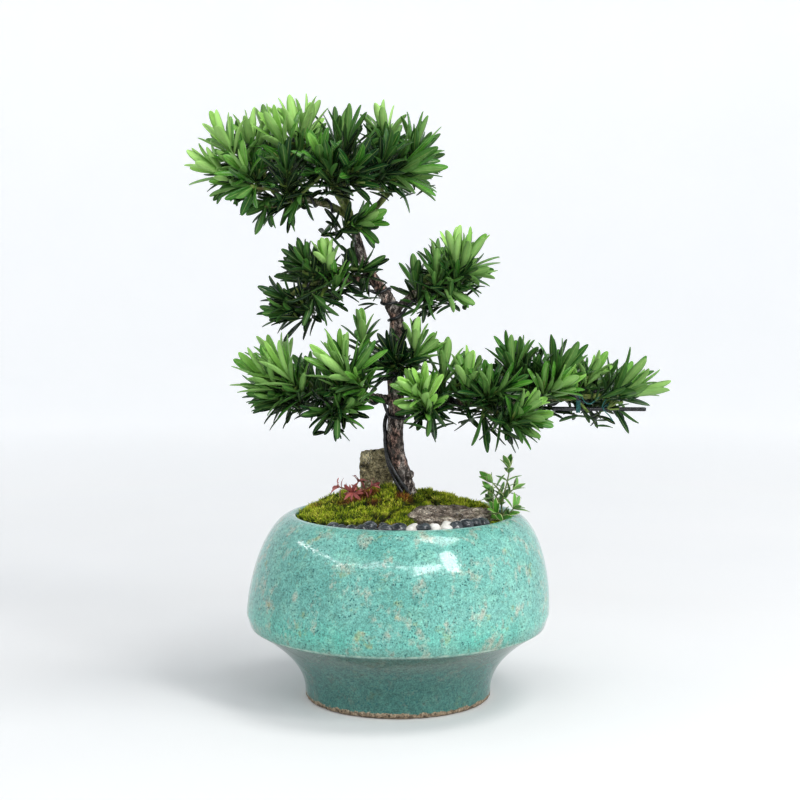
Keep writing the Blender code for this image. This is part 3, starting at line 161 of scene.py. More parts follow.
# Leaves, and the companions that stand round most shoots. Fans and leans are in degrees, and
# COMPANION_REACH is in mm.
LEAF_LENGTH = 32 * MM
LEAF_LENGTHS = (0.76 * LEAF_LENGTH, 1.16 * LEAF_LENGTH)
LEAF_WIDTH = 7.4 * MM
LEAF_START = -3 * MM
OLD_LEAVES = 5
OLD_LEAF_SIZE = 0.70
SHOOT_LEAVES = 10
HANGING_LEAVES = 6
COMPANIONS = 2
COMPANION_LEAVES = 7
COMPANION_SIZE = 0.80
COMPANION_LEAN = (25, 50)
COMPANION_REACH = (26, 31)
FAN = 48
LIGHT_FAN = 38
GOLDEN_ANGLE = math.radians(137.5)
TWIG_RADIUS = 1.3 * MM

# Each limb is a list of (x, y, z, radius) in mm, and starts inside the wood that bears it.
LIMBS = {
    "trunk": [
        (8, 24, 92, 7.0), (8, 23, 112, 8.2), (8, 22, 130, 7.8), (7, 21, 147, 6.7),
        (3, 19, 164, 6.0), (-1, 17, 179, 5.8), (-2, 14, 194, 5.7), (-1, 12, 211, 5.7),
        (-2, 10, 230, 5.3), (-2, 8, 256, 5.0), (-1, 6, 278, 4.8), (-4, 5, 287, 4.7),
        (-9, 4, 296, 4.4), (-15, 3, 304, 4.2), (-20, 3, 311, 4.0), (-25, 2, 320, 3.6),
        (-28, 1, 331, 3.4), (-31, 0, 341, 3.2), (-33, -1, 351, 3.0),
    ],
    "crown_left": [
        (-33, -1, 349, 2.7), (-40, -3, 356, 2.6), (-49, -6, 361, 2.5), (-66, -12, 365, 2.4),
        (-80, -15, 365, 2.2), (-88, -18, 370, 2.0), (-95, -20, 381, 1.8),
    ],
    "crown_mid": [(-33, -1, 348, 2.6), (-37, 1, 362, 2.4), (-40, 3, 375, 2.1), (-45, 6, 389, 1.8)],
    "crown_right": [
        (-31, 0, 342, 2.6), (-24, 3, 352, 2.4), (-14, 7, 363, 2.2), (-3, 9, 376, 2.0), (4, 8, 387, 1.7),
    ],
    "crown_back": [(-33, 0, 350, 2.4), (-38, 14, 361, 2.1), (-45, 30, 374, 1.9), (-51, 42, 386, 1.6)],
    "crown_front": [(-33, -1, 350, 2.3), (-40, -14, 362, 2.0), (-46, -28, 372, 1.8), (-51, -38, 379, 1.5)],
    "tier_left": [
        (-18, 3, 308, 3.0), (-26, 2, 309, 2.9), (-35, 0, 308, 2.8), (-55, -6, 307, 2.5),
        (-69, -10, 302, 2.2), (-77, -12, 296, 1.9),
    ],
    "tier_back": [(-36, 0, 308, 2.3), (-42, 12, 309, 2.1), (-50, 22, 309, 1.9), (-60, 29, 306, 1.6)],
    "upper_right": [
        (-3, 6, 283, 3.0), (2, 4, 289, 2.9), (12, 0, 297, 2.6), (22, -4, 305, 2.3),
        (34, -7, 307, 2.0), (44, -9, 311, 1.7),
    ],
    "low_left": [
        (-2, 11, 213, 3.2), (-8, 10, 219, 3.1), (-30, 2, 222, 2.8), (-62, -12, 225, 2.4),
        (-82, -17, 222, 2.0),
    ],
    "low_back": [(-36, 0, 222, 2.3), (-46, 14, 225, 2.1), (-58, 26, 227, 1.8)],
    "long_right": [
        (-1, 11, 209, 3.6), (6, 10, 214, 3.5), (20, 7, 216, 3.3), (40, 4, 217, 3.1),
        (80, 0, 219, 2.7), (120, -3, 221, 2.3), (150, -4, 223, 1.9),
    ],
    "front_right": [(48, 3, 217, 2.4), (58, -8, 217, 2.2), (68, -18, 213, 2.0), (78, -26, 211, 1.7)],
    "long_back": [(58, 2, 218, 2.3), (66, 12, 220, 2.1), (76, 22, 223, 1.8)],
    "outer_back": [(112, -3, 221, 2.1), (121, 7, 223, 1.9), (132, 14, 225, 1.6)],
}

# Wires: radius in mm, then stretches of (limb, from, to, turns, first angle, stand-off in mm).
WIRES = {
    "wire_trunk": (1.5, [
        ("trunk", 0.10, 0.37, -0.52, 86, 1.0), ("trunk", 0.38, 0.46, -0.16, -92, 2.0),
        ("trunk", 0.47, 0.685, -1.5, -152, 0.2),
    ]),
    "wire_long": (1.5, [
        ("trunk", 0.10, 0.37, -0.52, 60, 1.0), ("trunk", 0.38, 0.425, -0.37, -127, 0.6),
        ("long_right", 0.10, 0.98, 6.2, 290, 0.2),
    ]),
    "wire_low_left": (1.2, [("trunk", 0.427, 0.437, -0.4, 85, 0.2), ("low_left", 0.16, 0.9, -3.1, -80, 0.2)]),
    "wire_upper": (1.2, [("trunk", 0.700, 0.712, 0.45, -90, 0.2), ("upper_right", 0.3, 0.96, 2.2, 140, 0.2)]),
    "wire_tier": (1.0, [("trunk", 0.745, 0.80, -1.4, 60, 0.2), ("tier_left", 0.27, 0.94, -2.5, -120, 0.2)]),
    "wire_crown": (1.0, [("crown_left", 0.16, 0.94, 4.2, 40, 0.2)]),
}

# The stub of a cut shoot on the trunk's right, in mm, and its radius at each point.
KNOT = ((4, 18, 161), (8, 15, 162.5), (10.4, 13.6, 163))
KNOT_RADII = (3.4 * MM, 3.2 * MM, 2.4 * MM)

# How much of a limb's end is still green, and the height and the edge above and right of which all is.
YOUNG_WOOD = 42 * MM
YOUNG_HEIGHT = 337 * MM
YOUNG_EDGE = -50 * MM

# The straight rod tied under the long branch: both ends and the radius, in mm.
BRACE_ROD = ((112.6, -4, 213.4), (181.6, -5, 213.0), 1.5)
ROD_STEPS = 60
STRING_RADIUS = 0.42 * MM

# The string that ties it, in mm: a coil along the branch and its end, and the loose tail of the knot.
COIL_START = 130.5
COIL_LENGTH = 3.2
COIL_STEPS = 100
COIL_STEPS_A_TURN = 33
COIL_MIDDLE = (-3.6, 217.6)
COIL_REACH = (4.3, 7.0)
KNOT_POINTS = 7
KNOT_MIDDLE = (152, -6.5, 217)
KNOT_REACH = (2.6, 3.2, 5)
STRING_END = [(136, -9, 219), (140, -10.5, 217.5), (144, -10, 220), (147, -9, 222.5)]
STRING_TAIL = [(153, -6, 216.5), (150, -7.5, 214), (152, -8.2, 211), (154.5, -8, 208.5), (157, -8, 205)]

# Sprays: the limb that bears the twig, the share of its length where the twig leaves it, and its
# shoots. A shoot is where its leaves start, the point that its furthest leaf reaches, both as
# (x, y, z) in mm, and how light its leaves are. The lightness is partly the leaves' own colour, paler
# when young, and partly painted light and shade: higher where the foliage is lit, lower where it is shaded.
SPRAYS = {
    "crown_far_left": ("crown_left", 1.0, [
        (-130, -10, 386, -154, -15, 400, 0.90), (-121, 0, 380, -134, 4, 361, 0.30),
        (-108, -35, 384, -118, -52, 396, 0.60),
    ]),
    "crown_left_top": ("crown_left", 0.93, [
        (-121, -20, 403, -134, -28, 427, 0.95), (-106, -5, 404, -109, 0, 434, 0.85),
        (-119, 25, 404, -136, 38, 421, 0.50), (-97, 34, 410, -106, 44, 437, 0.50),
    ]),
    "crown_left_under": ("crown_left", 0.72, [
        (-93, -15, 361, -112, -20, 357, 0.35), (-94, -22, 359, -101, -26, 337, 0.30),
        (-79, -10, 363, -76, -14, 341, 0.25),
    ]),
    "crown_front_left": ("crown_left", 0.55, [
        (-78, -45, 384, -80, -58, 405, 0.20), (-102, -42, 372, -113, -62, 360, 0.50),
    ]),
    "crown_top": ("crown_mid", 1.0, [
        (-73, -10, 411, -82, -14, 445, 1.00), (-67, 2, 415, -62, 6, 444, 0.95),
        (-82, -24, 405, -95, -34, 430, 0.80),
    ]),
    "crown_top_right": ("crown_mid", 0.75, [
        (-38, 0, 406, -33, 2, 439, 0.30), (-27, -18, 400, -8, -24, 409, 0.35),
    ]),
    "crown_front_top": ("crown_front", 1.0, [
        (-47, -46, 384, -49, -62, 401, 0.30), (-54, -44, 392, -56, -62, 408, 0.60),
        (-70, -36, 366, -80, -50, 350, 0.30),
    ]),
    "crown_back_top": ("crown_back", 1.0, [
        (-73, 45, 405, -75, 58, 434, 0.60), (-47, 42, 411, -46, 52, 441, 0.40),
        (-76, 45, 381, -88, 62, 366, 0.30), (-40, 50, 385, -36, 72, 372, 0.30),
    ]),
    "crown_right_top": ("crown_right", 1.0, [
        (-10, 8, 415, -14, 14, 440, 0.85), (12, 0, 402, 15, 0, 432, 0.50),
        (-18, 38, 403, -14, 52, 432, 0.40), (10, 30, 397, 26, 46, 418, 0.40),
    ]),
    "crown_right_side": ("crown_right", 0.85, [
        (3, -10, 389, 34, -14, 408, 0.45), (4, -22, 384, 39, -32, 389, 0.55),
        (2, 2, 383, 31, 6, 370, 0.50),
    ]),
    "crown_front_right": ("crown_right", 0.6, [
        (-8, -34, 394, 2, -44, 413, 0.30), (-30, -44, 384, -20, -66, 396, 0.35),
    ]),
    "crown_under": ("trunk", 0.97, [
        (-26, -14, 349, -8, -22, 356, 0.60), (-27, -8, 346, -15, -12, 336, 0.30),
    ]),
    "tier_far_left": ("tier_left", 1.0, [
        (-82, -18, 294, -98, -24, 302, 0.15), (-82, -14, 284, -103, -18, 283, 0.35),
    ]),
    "tier_left_top": ("tier_left", 0.78, [
        (-68, -14, 318, -84, -20, 330, 0.20), (-67, -8, 320, -72, -8, 340, 0.35),
    ]),
    "tier_top": ("tier_left", 0.45, [
        (-51, -14, 320, -55, -18, 339, 1.00), (-30, 4, 318, -34, 8, 335, 0.20),
        (-25, -6, 315, -10, -12, 324, 0.15),
    ]),
    "tier_under": ("tier_left", 0.6, [
        (-61, -20, 293, -69, -22, 269, 0.15), (-56, -26, 293, -42, -32, 280, 0.20),
    ]),
    "tier_back_top": ("tier_back", 1.0, [
        (-64, 36, 312, -70, 48, 333, 0.30), (-72, 32, 308, -91, 46, 317, 0.20),
        (-66, 34, 298, -76, 44, 276, 0.20),
    ]),
    "upper_tip": ("upper_right", 1.0, [
        (48, -12, 318, 62, -16, 345, 0.80), (42, -8, 319, 42, -8, 349, 0.95),
        (52, -10, 312, 71, -12, 314, 0.55),
    ]),
    "upper_top": ("upper_right", 0.6, [
        (28, -10, 313, 28, -12, 336, 0.55),
    ]),
    "upper_under": ("upper_right", 0.55, [
        (38, -12, 300, 56, -14, 289, 0.52), (20, -6, 295, 20, -8, 277, 0.26),
    ]),
    "upper_back": ("upper_right", 0.36, [
        (31, 14, 316, 26, 26, 337, 0.30), (13, 6, 306, 12, 10, 324, 0.35),
        (42, 12, 313, 57, 28, 330, 0.35),
    ]),
    "low_far_left": ("low_left", 1.0, [
        (-92, -24, 234, -119, -36, 260, 0.80), (-91, -20, 226, -115, -26, 234, 0.40),
        (-88, -17, 221, -108, -16, 219, 0.10),
    ]),
    "low_left_top": ("low_left", 0.8, [
        (-79, -30, 239, -103, -40, 271, 0.85), (-85, -6, 240, -99, -6, 275, 0.75),
    ]),
    "low_front_left": ("low_left", 0.45, [
        (-38, -40, 241, -66, -54, 266, 0.85), (-38, -28, 243, -45, -34, 284, 0.70),
        (-32, -38, 241, -14, -48, 265, 0.50),
    ]),
    "low_left_under": ("low_left", 0.55, [
        (-43, -38, 212, -45, -44, 192, 0.20), (-52, -32, 214, -69, -42, 212, 0.20),
        (-36, -36, 217, -20, -46, 230, 0.60),
    ]),
    "low_back_top": ("low_back", 1.0, [
        (-66, 32, 233, -82, 44, 250, 0.40), (-86, 26, 229, -108, 34, 243, 0.40),
        (-46, 38, 232, -51, 52, 251, 0.40),
    ]),
    "trunk_left": ("trunk", 0.62, [
        (-26, -8, 267, -27, -10, 288, 0.60),
    ]),
    "trunk_front": ("trunk", 0.56, [
        (12, -8, 260, 13, -8, 283, 0.85), (17, -14, 255, 29, -18, 266, 0.70),
        (-4, -12, 252, -12, -30, 268, 0.12), (2, -14, 247, 8, -34, 256, 0.16),
        (-8, -12, 244, -26, -28, 250, 0.10),
    ]),
    "long_inner": ("long_right", 0.12, [
        (19, -26, 224, 16, -38, 248, 1.00), (12, -28, 227, 0, -40, 239, 0.90),
        (24, -24, 212, 26, -30, 190, 0.15),
    ]),
    "long_top_inner": ("long_right", 0.24, [
        (34, -4, 240, 36, -6, 268, 0.70), (50, -14, 235, 50, -20, 261, 0.80),
    ]),
    "long_top": ("long_right", 0.48, [
        (84, 0, 244, 77, 0, 272, 0.50), (89, 8, 245, 96, 14, 269, 0.45),
        (100, -4, 240, 109, -6, 259, 0.15),
    ]),
    "front_fork": ("front_right", 1.0, [
        (90, -40, 215, 104, -48, 230, 0.75), (92, -36, 210, 112, -46, 212, 0.70),
        (84, -32, 206, 104, -40, 192, 0.45),
    ]),
    "front_inner": ("front_right", 0.45, [
        (66, -24, 228, 62, -36, 251, 0.50), (76, -26, 229, 94, -38, 240, 0.55),
        (62, -20, 207, 66, -26, 182, 0.20), (75, -28, 206, 82, -34, 182, 0.15),
    ]),
    "long_mid": ("long_right", 0.66, [
        (114, 0, 236, 116, 0, 275, 0.35), (118, -10, 237, 134, -14, 268, 0.50),
        (115, -26, 231, 133, -36, 244, 0.75),
    ]),
    "long_tip": ("long_right", 1.0, [
        (167, -9, 224, 200, -12, 234, 0.65), (162, -5, 228, 184, -8, 254, 0.55),
        (163, -14, 219, 195, -18, 219, 0.60), (158, -2, 215, 172, -4, 194, 0.20),
    ]),
    "long_outer": ("long_right", 0.84, [
        (142, -2, 237, 153, -4, 256, 0.80), (139, -9, 211, 152, -14, 196, 0.20),
    ]),
    "long_back_top": ("long_back", 1.0, [
        (84, 32, 232, 84, 46, 256, 0.40), (58, 28, 232, 54, 38, 254, 0.40),
        (104, 30, 229, 114, 42, 252, 0.40),
    ]),
    "outer_back_top": ("outer_back", 1.0, [
        (138, 22, 231, 144, 36, 252, 0.40), (152, 18, 227, 174, 30, 243, 0.40),
    ]),
}
LIGHT_SPRAY = 0.62

# Small plants, in mm: the stem, its side branches, the leaves' length and width, and how far in degrees
# they spread from the stem and bend on to their tips. Each PLANT_STEP points up a stem stands a pair.
PLANT_STEP = 4
RED_PLANT = {
    "stem": [(-31, 12, 130), (-31, 12, 147), (-32, 11, 152), (-30, 10, 157)],
    "branches": [
        [(-31, 12, 148), (-38, 8, 152), (-43, 6, 154)], [(-31, 12, 148), (-24, 7, 152), (-19, 5, 155)],
        [(-31, 12, 147), (-33, 4, 150), (-34, 0, 151)],
    ],
    "leaf": (10, 2.9),
    "spread": 60,
    "bend": 75,
    "slot": "red_leaf",
}
VARIEGATED_PLANT = {
    "stem": [(76, -12, 122), (76, -12, 138), (76, -12, 146), (79, -12, 157), (81, -13, 167), (81, -13, 170)],
    "branches": [
        [(76, -12, 128), (72, -20, 138)], [(76, -12, 131), (84, -16, 141)], [(76, -12, 134), (70, -8, 143)],
        [(76, -12, 143), (70, -15, 152)], [(76, -12, 147), (84, -9, 154)], [(77, -12, 151), (69, -14, 160)],
    ],
    "leaf": (13, 5.2),
    "spread": 56,
    "bend": 26,
    "slot": "cream_leaf",
}

# Stage: a floor that bends up into a wall
STAGE_LEVEL = -0.4 * MM
STAGE_MIDDLE = 0.01
STAGE_STEP = 0.1
STAGE_RINGS = 31
STAGE_REACH = 3.1
STAGE_BEND = 1.2
STAGE_HEIGHT = 4.0
STAGE_SIDES = 96
WALL_GLOW = (0.335, 0.341, 0.348)

# Lights: the direction from the object, the size, the power and the colour
WARM = (1.0, 0.99, 0.97)
WHITE = (1, 1, 1)
LIGHTS = {
    "overhead": ((0.35, -0.15, 0.93), (0.8, 0.8), 16, WARM),
    "window_right": ((0.56, -0.61, 0.56), (0.42, 0.85), 17, WARM),
    "window_small": ((0.33, -0.81, 0.48), (0.75, 0.26), 9, WHITE),
    "strip_front": ((-0.24, -0.79, 0.56), (1.9, 0.05), 6, WHITE),
    "strip_left": ((-0.84, -0.12, 0.53), (2.2, 0.05), 6, WHITE),
}
LIGHT_TARGET = Vector((0, 0, 0.2))
LIGHT_DISTANCE = 2.2
SKY_COLOUR = (0.93, 0.96, 1.0, 1)
SKY_STRENGTH = 0.36
VIEW_GAMMA = 0.92

# Camera
LENS = 67.5
CAMERA_PLACE = Vector((1.5 * MM, -1.10, 0.306))
CAMERA_TILT = 4.5


# Directions, meshes and pieces


def clamped(value, low=0, high=1):
    return min(max(value, low), high)


def metres(points):
    """Points given in mm, as vectors."""
    return [Vector(point) * MM for point in points]


def tilted(first, second, angle):
    """The first direction turned towards the second, which is at right angles to it."""
    return first * math.cos(angle) + second * math.sin(angle)


def around(axis, turn):
    """The direction at this turn round the axis, at right angles to it."""
    side = axis.orthogonal().normalized()
    return tilted(side, axis.cross(side), turn)


def wave(x, y, z):
    """Smooth noise between -1 and 1."""
    return noise.noise(Vector((x, y, z)))


def new_mesh(name, points, faces):
    """A mesh from points given round the pot's axis."""
    mesh = bpy.data.meshes.new(name)
    mesh.from_pydata([tuple(point) for point in np.asarray(points) + np.array(AXIS)], [], faces)
    mesh.validate()
    return mesh


def paint(mesh, name, values):
    """Keeps four numbers for each point of the mesh, which its material reads by this name."""
    layer = mesh.attributes.new(name, "FLOAT_COLOR", "POINT")
    layer.data.foreach_set("color", np.array(values).ravel())


def add_object(name, data):
    obj = bpy.data.objects.new(name, data)
    bpy.context.scene.collection.objects.link(obj)
    return obj


def add_piece(name, shape, finish, node=None, smooth=True):
    """Puts a mesh, or its points and faces, on the object as one piece, in place of the node if given."""
    mesh = new_mesh(name, *shape) if isinstance(shape, tuple) else shape
    mesh.name = name
    mesh.materials.clear()
    mesh.materials.append(finish)
    if smooth:
        mesh.shade_smooth()
    piece = add_object(name, mesh)
    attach(piece, "root")
    if node:
        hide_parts(node)
    return piece


def remeshed(source, voxel, smoothing):
    """A fine even skin over a closed mesh, which may be made of several overlapping bodies."""
    obj = add_object("coarse", source)
    remesh = obj.modifiers.new("remesh", "REMESH")
    remesh.mode = "VOXEL"
    remesh.voxel_size = voxel
    smooth = obj.modifiers.new("smooth", "SMOOTH")
    smooth.factor = 0.5
    smooth.iterations = smoothing
    mesh = bpy.data.meshes.new_from_object(obj.evaluated_get(bpy.context.evaluated_depsgraph_get()))
    bpy.data.objects.remove(obj)
    return mesh


def remeshed_node(node, voxel, smoothing):
    return remeshed(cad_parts[node].data.copy(), voxel, smoothing)


def displaced(mesh, shift):
    """Moves each point by shift(place, normal), which is given round the pot's axis."""
    moved = [vert.co + shift(vert.co - AXIS, vert.normal) for vert in mesh.vertices]
    mesh.vertices.foreach_set("co", np.array(moved).ravel())
    mesh.update()
    return mesh


def tree_of(mesh):
    """A search tree over the mesh, round the pot's axis."""
    points = [vert.co - AXIS for vert in mesh.vertices]
    return BVHTree.FromPolygons(points, [tuple(face.vertices) for face in mesh.polygons])


# Curves, tubes and turned shapes


def direction_at(path, index):
    """The path's direction at one of its points, which may have a radius as their fourth part."""
    ahead = path[min(index + 1, len(path) - 1)]
    behind = path[max(index - 1, 0)]
    return (ahead - behind).to_3d().normalized()


def sweep(path, radii, sides):
    """Points and faces of a closed round tube along the path."""
    across = direction_at(path, 0).orthogonal().normalized()
    points = []
    for index, (place, radius) in enumerate(zip(path, radii)):
        tangent = direction_at(path, index)
        across = (across - tangent * across.dot(tangent)).normalized()
        over = tangent.cross(across)
        for side in range(sides):
            points.append(place + tilted(across, over, 2 * math.pi * side / sides) * radius)
    faces = []
    for ring in range(len(path) - 1):
        for side in range(sides):
            here = ring * sides + side
            beside = ring * sides + (side + 1) % sides
            faces.append((here, beside, beside + sides, here + sides))
    faces.append(tuple(reversed(range(sides))))
    faces.append(tuple(range((len(path) - 1) * sides, len(path) * sides)))
    return points, faces


def tapered_sweep(path, sides, first, last):
    """A tube along the path whose radius goes evenly from first to last."""
    count = len(path) - 1
    return sweep(path, [first + (last - first) * step / count for step in range(count + 1)], sides)


def cut_sweep(path, sides, radius):
    """A tube of one radius along the path, drawn in at both cut ends."""
    radii = [radius] * len(path)
    radii[0] = radii[-1] = radius * CUT_END
    return sweep(path, radii, sides)


def joined(shapes):
    """Several sets of points and faces as one."""
    points = []
    faces = []
    for shape_points, shape_faces in shapes:
        start = len(points)
        points += list(shape_points)
        faces += [tuple(index + start for index in face) for face in shape_faces]
    return points, faces


def turned(profile, sides, wobble=None, closed=True):
    """Points and faces of a section turned round the Z axis."""
    points = []
    for side in range(sides):
        angle = 2 * math.pi * side / sides
        for radius, height in profile:
            reach = radius + (wobble(angle, radius, height) if wobble else 0)
            points.append((reach * math.cos(angle), reach * math.sin(angle), height))
    count = len(profile)
    faces = []
    for side in range(sides):
        here = side * count
        beside = (side + 1) % sides * count
        for step in range(count if closed else count - 1):
            after = (step + 1) % count
            faces.append((here + step, here + after, beside + after, beside + step))
    return points, faces


def spline_at(points, share):
    """The point of a smooth curve through the given ones, at a share of its spans."""
    last = len(points) - 1
    position = min(max(share * last, 0), last - 1e-9)
    span = int(position)
    t = position - span
    a, b, c, d = (points[clamped(span + k, 0, last)] for k in (-1, 0, 1, 2))
    return 0.5 * (2 * b + (c - a) * t + (2 * a - 5 * b + 4 * c - d) * t**2 + (3 * b - a - 3 * c + d) * t**3)


def smooth_path(points, spacing):
    """Points at even steps along the smooth curve. They have as many parts as the given ones."""
    steps = 40 * (len(points) - 1)
    fine = [spline_at(points, k / steps) for k in range(steps + 1)]
    lengths = [0.0]
    for before, after in zip(fine, fine[1:]):
        lengths.append(lengths[-1] + (after - before).to_3d().length)
    count = max(round(lengths[-1] / spacing), 1)
    path = []
    index = 0
    for step in range(count + 1):
        wanted = lengths[-1] * step / count
        while index < len(fine) - 2 and lengths[index + 1] < wanted:
            index += 1
        share = (wanted - lengths[index]) / max(lengths[index + 1] - lengths[index], 1e-12)
        path.append(fine[index].lerp(fine[index + 1], clamped(share)))
    return path


def limb_path(name, spacing=1 * MM):
    """The limb's points in metres, each with its radius as the fourth part."""
    return smooth_path(metres(LIMBS[name]), spacing)


def limb_at(name, share):
    """Where the limb is at this share of its length, its direction and its radius."""
    path = limb_path(name)
    index = round(share * (len(path) - 1))
    return path[index].to_3d(), direction_at(path, index), path[index][3]


# Materials


class Finish:
    """A material whose colour, roughness and relief are worked out from the place on the object.

    A grain is what noise takes: its scale, detail and roughness, the place it reads, and its distortion.
    """

    def __init__(self, name, roughness, **sockets):
        self.material = bpy.data.materials.new(name)
        self.material.use_nodes = True
        self.tree = self.material.node_tree
        self.place = self.node("TexCoord").outputs["Object"]
        self.set("Roughness", roughness)
        for socket, value in sockets.items():
            self.set(socket.replace("_", " "), value)

    def put(self, socket, value):
        """Links another node's output to the socket, or sets its number or colour."""
        if isinstance(value, bpy.types.NodeSocket):
            self.tree.links.new(value, socket)
        elif isinstance(value, tuple) and len(value) < len(socket.default_value):
            socket.default_value = (*value, 1)
        else:
            socket.default_value = value

    def set(self, socket, value):
        self.put(self.tree.nodes["Principled BSDF"].inputs[socket], value)

    def node(self, kind, inputs=None, **settings):
        made = self.tree.nodes.new("ShaderNode" + kind)
        for name, value in settings.items():
            setattr(made, name, value)
        for socket, value in (inputs or {}).items():
            self.put(made.inputs[socket], value)
        return made

    def stretched(self, *scale):
        return self.node("Mapping", {"Vector": self.place, "Scale": scale}).outputs["Vector"]

    def noise(self, scale, detail=3.0, roughness=0.6, place=None, distortion=0.0):
        inputs = {"Vector": place or self.place, "Scale": scale, "Detail": detail, "Roughness": roughness}
        return self.node("TexNoise", inputs | {"Distortion": distortion}).outputs["Fac"]

    def cells(self, scale, feature="F1"):
        made = self.node("TexVoronoi", {"Vector": self.place, "Scale": scale}, feature=feature)
        return made.outputs["Distance"]

    def ramp(self, factor, *stops):
        """A colour or a grey for each (position, value)."""
        made = self.node("ValToRGB", {"Fac": factor})
        elements = made.color_ramp.elements
        while len(elements) < len(stops):
            elements.new(0.5)
        for element, (position, value) in zip(elements, stops):
            element.position = position
            element.color = (*value, 1) if isinstance(value, tuple) else (value, value, value, 1)
        return made.outputs["Color"]

    def cloud(self, grain, *stops):
        """A colour or a grey for each level of the grain's noise."""
        return self.ramp(self.noise(*grain), *stops)

    def line(self, grain, width, strength):
        """Thin wandering lines, where the grain's noise is half."""
        return self.cloud(grain, (0.5 - width, 0.0), (0.5, strength), (0.5 + width, 0.0))

    def mix(self, factor, first, second, blend="MIX"):
        inputs = {0: factor, 6: first, 7: second}
        return self.node("Mix", inputs, data_type="RGBA", blend_type=blend).outputs[2]

    def shaded(self, colour, *greys):
        """The colour times each grey or colour."""
        for grey in greys:
            colour = self.mix(1.0, colour, grey, "MULTIPLY")
        return colour

    def covered(self, colour, *layers):
        """The colour with tints laid over it in turn, each given after its mask."""
        for mask, tint in layers:
            colour = self.mix(mask, colour, tint)
        return colour

    def math(self, operation, first, second):
        return self.node("Math", {0: first, 1: second}, operation=operation).outputs[0]

    def times(self, first, second):
        return self.math("MULTIPLY", first, second)

    def plus(self, first, second):
        return self.math("ADD", first, second)

    def varied(self, value, grain, amount):
        """The value, made larger here and smaller there by half the amount at most."""
        return self.plus(value, self.times(self.math("SUBTRACT", self.noise(*grain), 0.5), amount))

    def part(self, axis):
        return self.node("SeparateXYZ", {0: self.place}).outputs[axis]

    def attribute(self, name):
        """The four values that the mesh keeps under this name."""
        made = self.node("Attribute", attribute_name=name)
        split = self.node("SeparateColor", {0: made.outputs["Color"]})
        return (*split.outputs, made.outputs["Alpha"])

    def band(self, value, low, high, width):
        """1 where the value is between low and high, falling to 0 over the width outside."""
        rising = self.node("MapRange", {"Value": value, "From Min": low - width, "From Max": low})
        falling = self.node("MapRange", {"Value": value, "From Min": high + width, "From Max": high})
        return self.times(rising.outputs[0], falling.outputs[0])

    def finished(self, colour, relief=None, distance=0, strength=1.0):
        """The material with this colour, and with relief of this height where one is given."""
        self.set("Base Color", colour)
        if relief is not None:
            bump = self.node("Bump", {"Strength": strength, "Distance": distance, "Height": relief})
            self.set("Normal", bump.outputs["Normal"])
        return self.material


def plain_finish(name, roughness, grain, stops, relief, distance):
    """A material with one ramp of colours over noise, and finer noise as its relief."""
    made = Finish(name, roughness)
    return made.finished(made.cloud(grain, *stops), made.noise(*relief), distance)


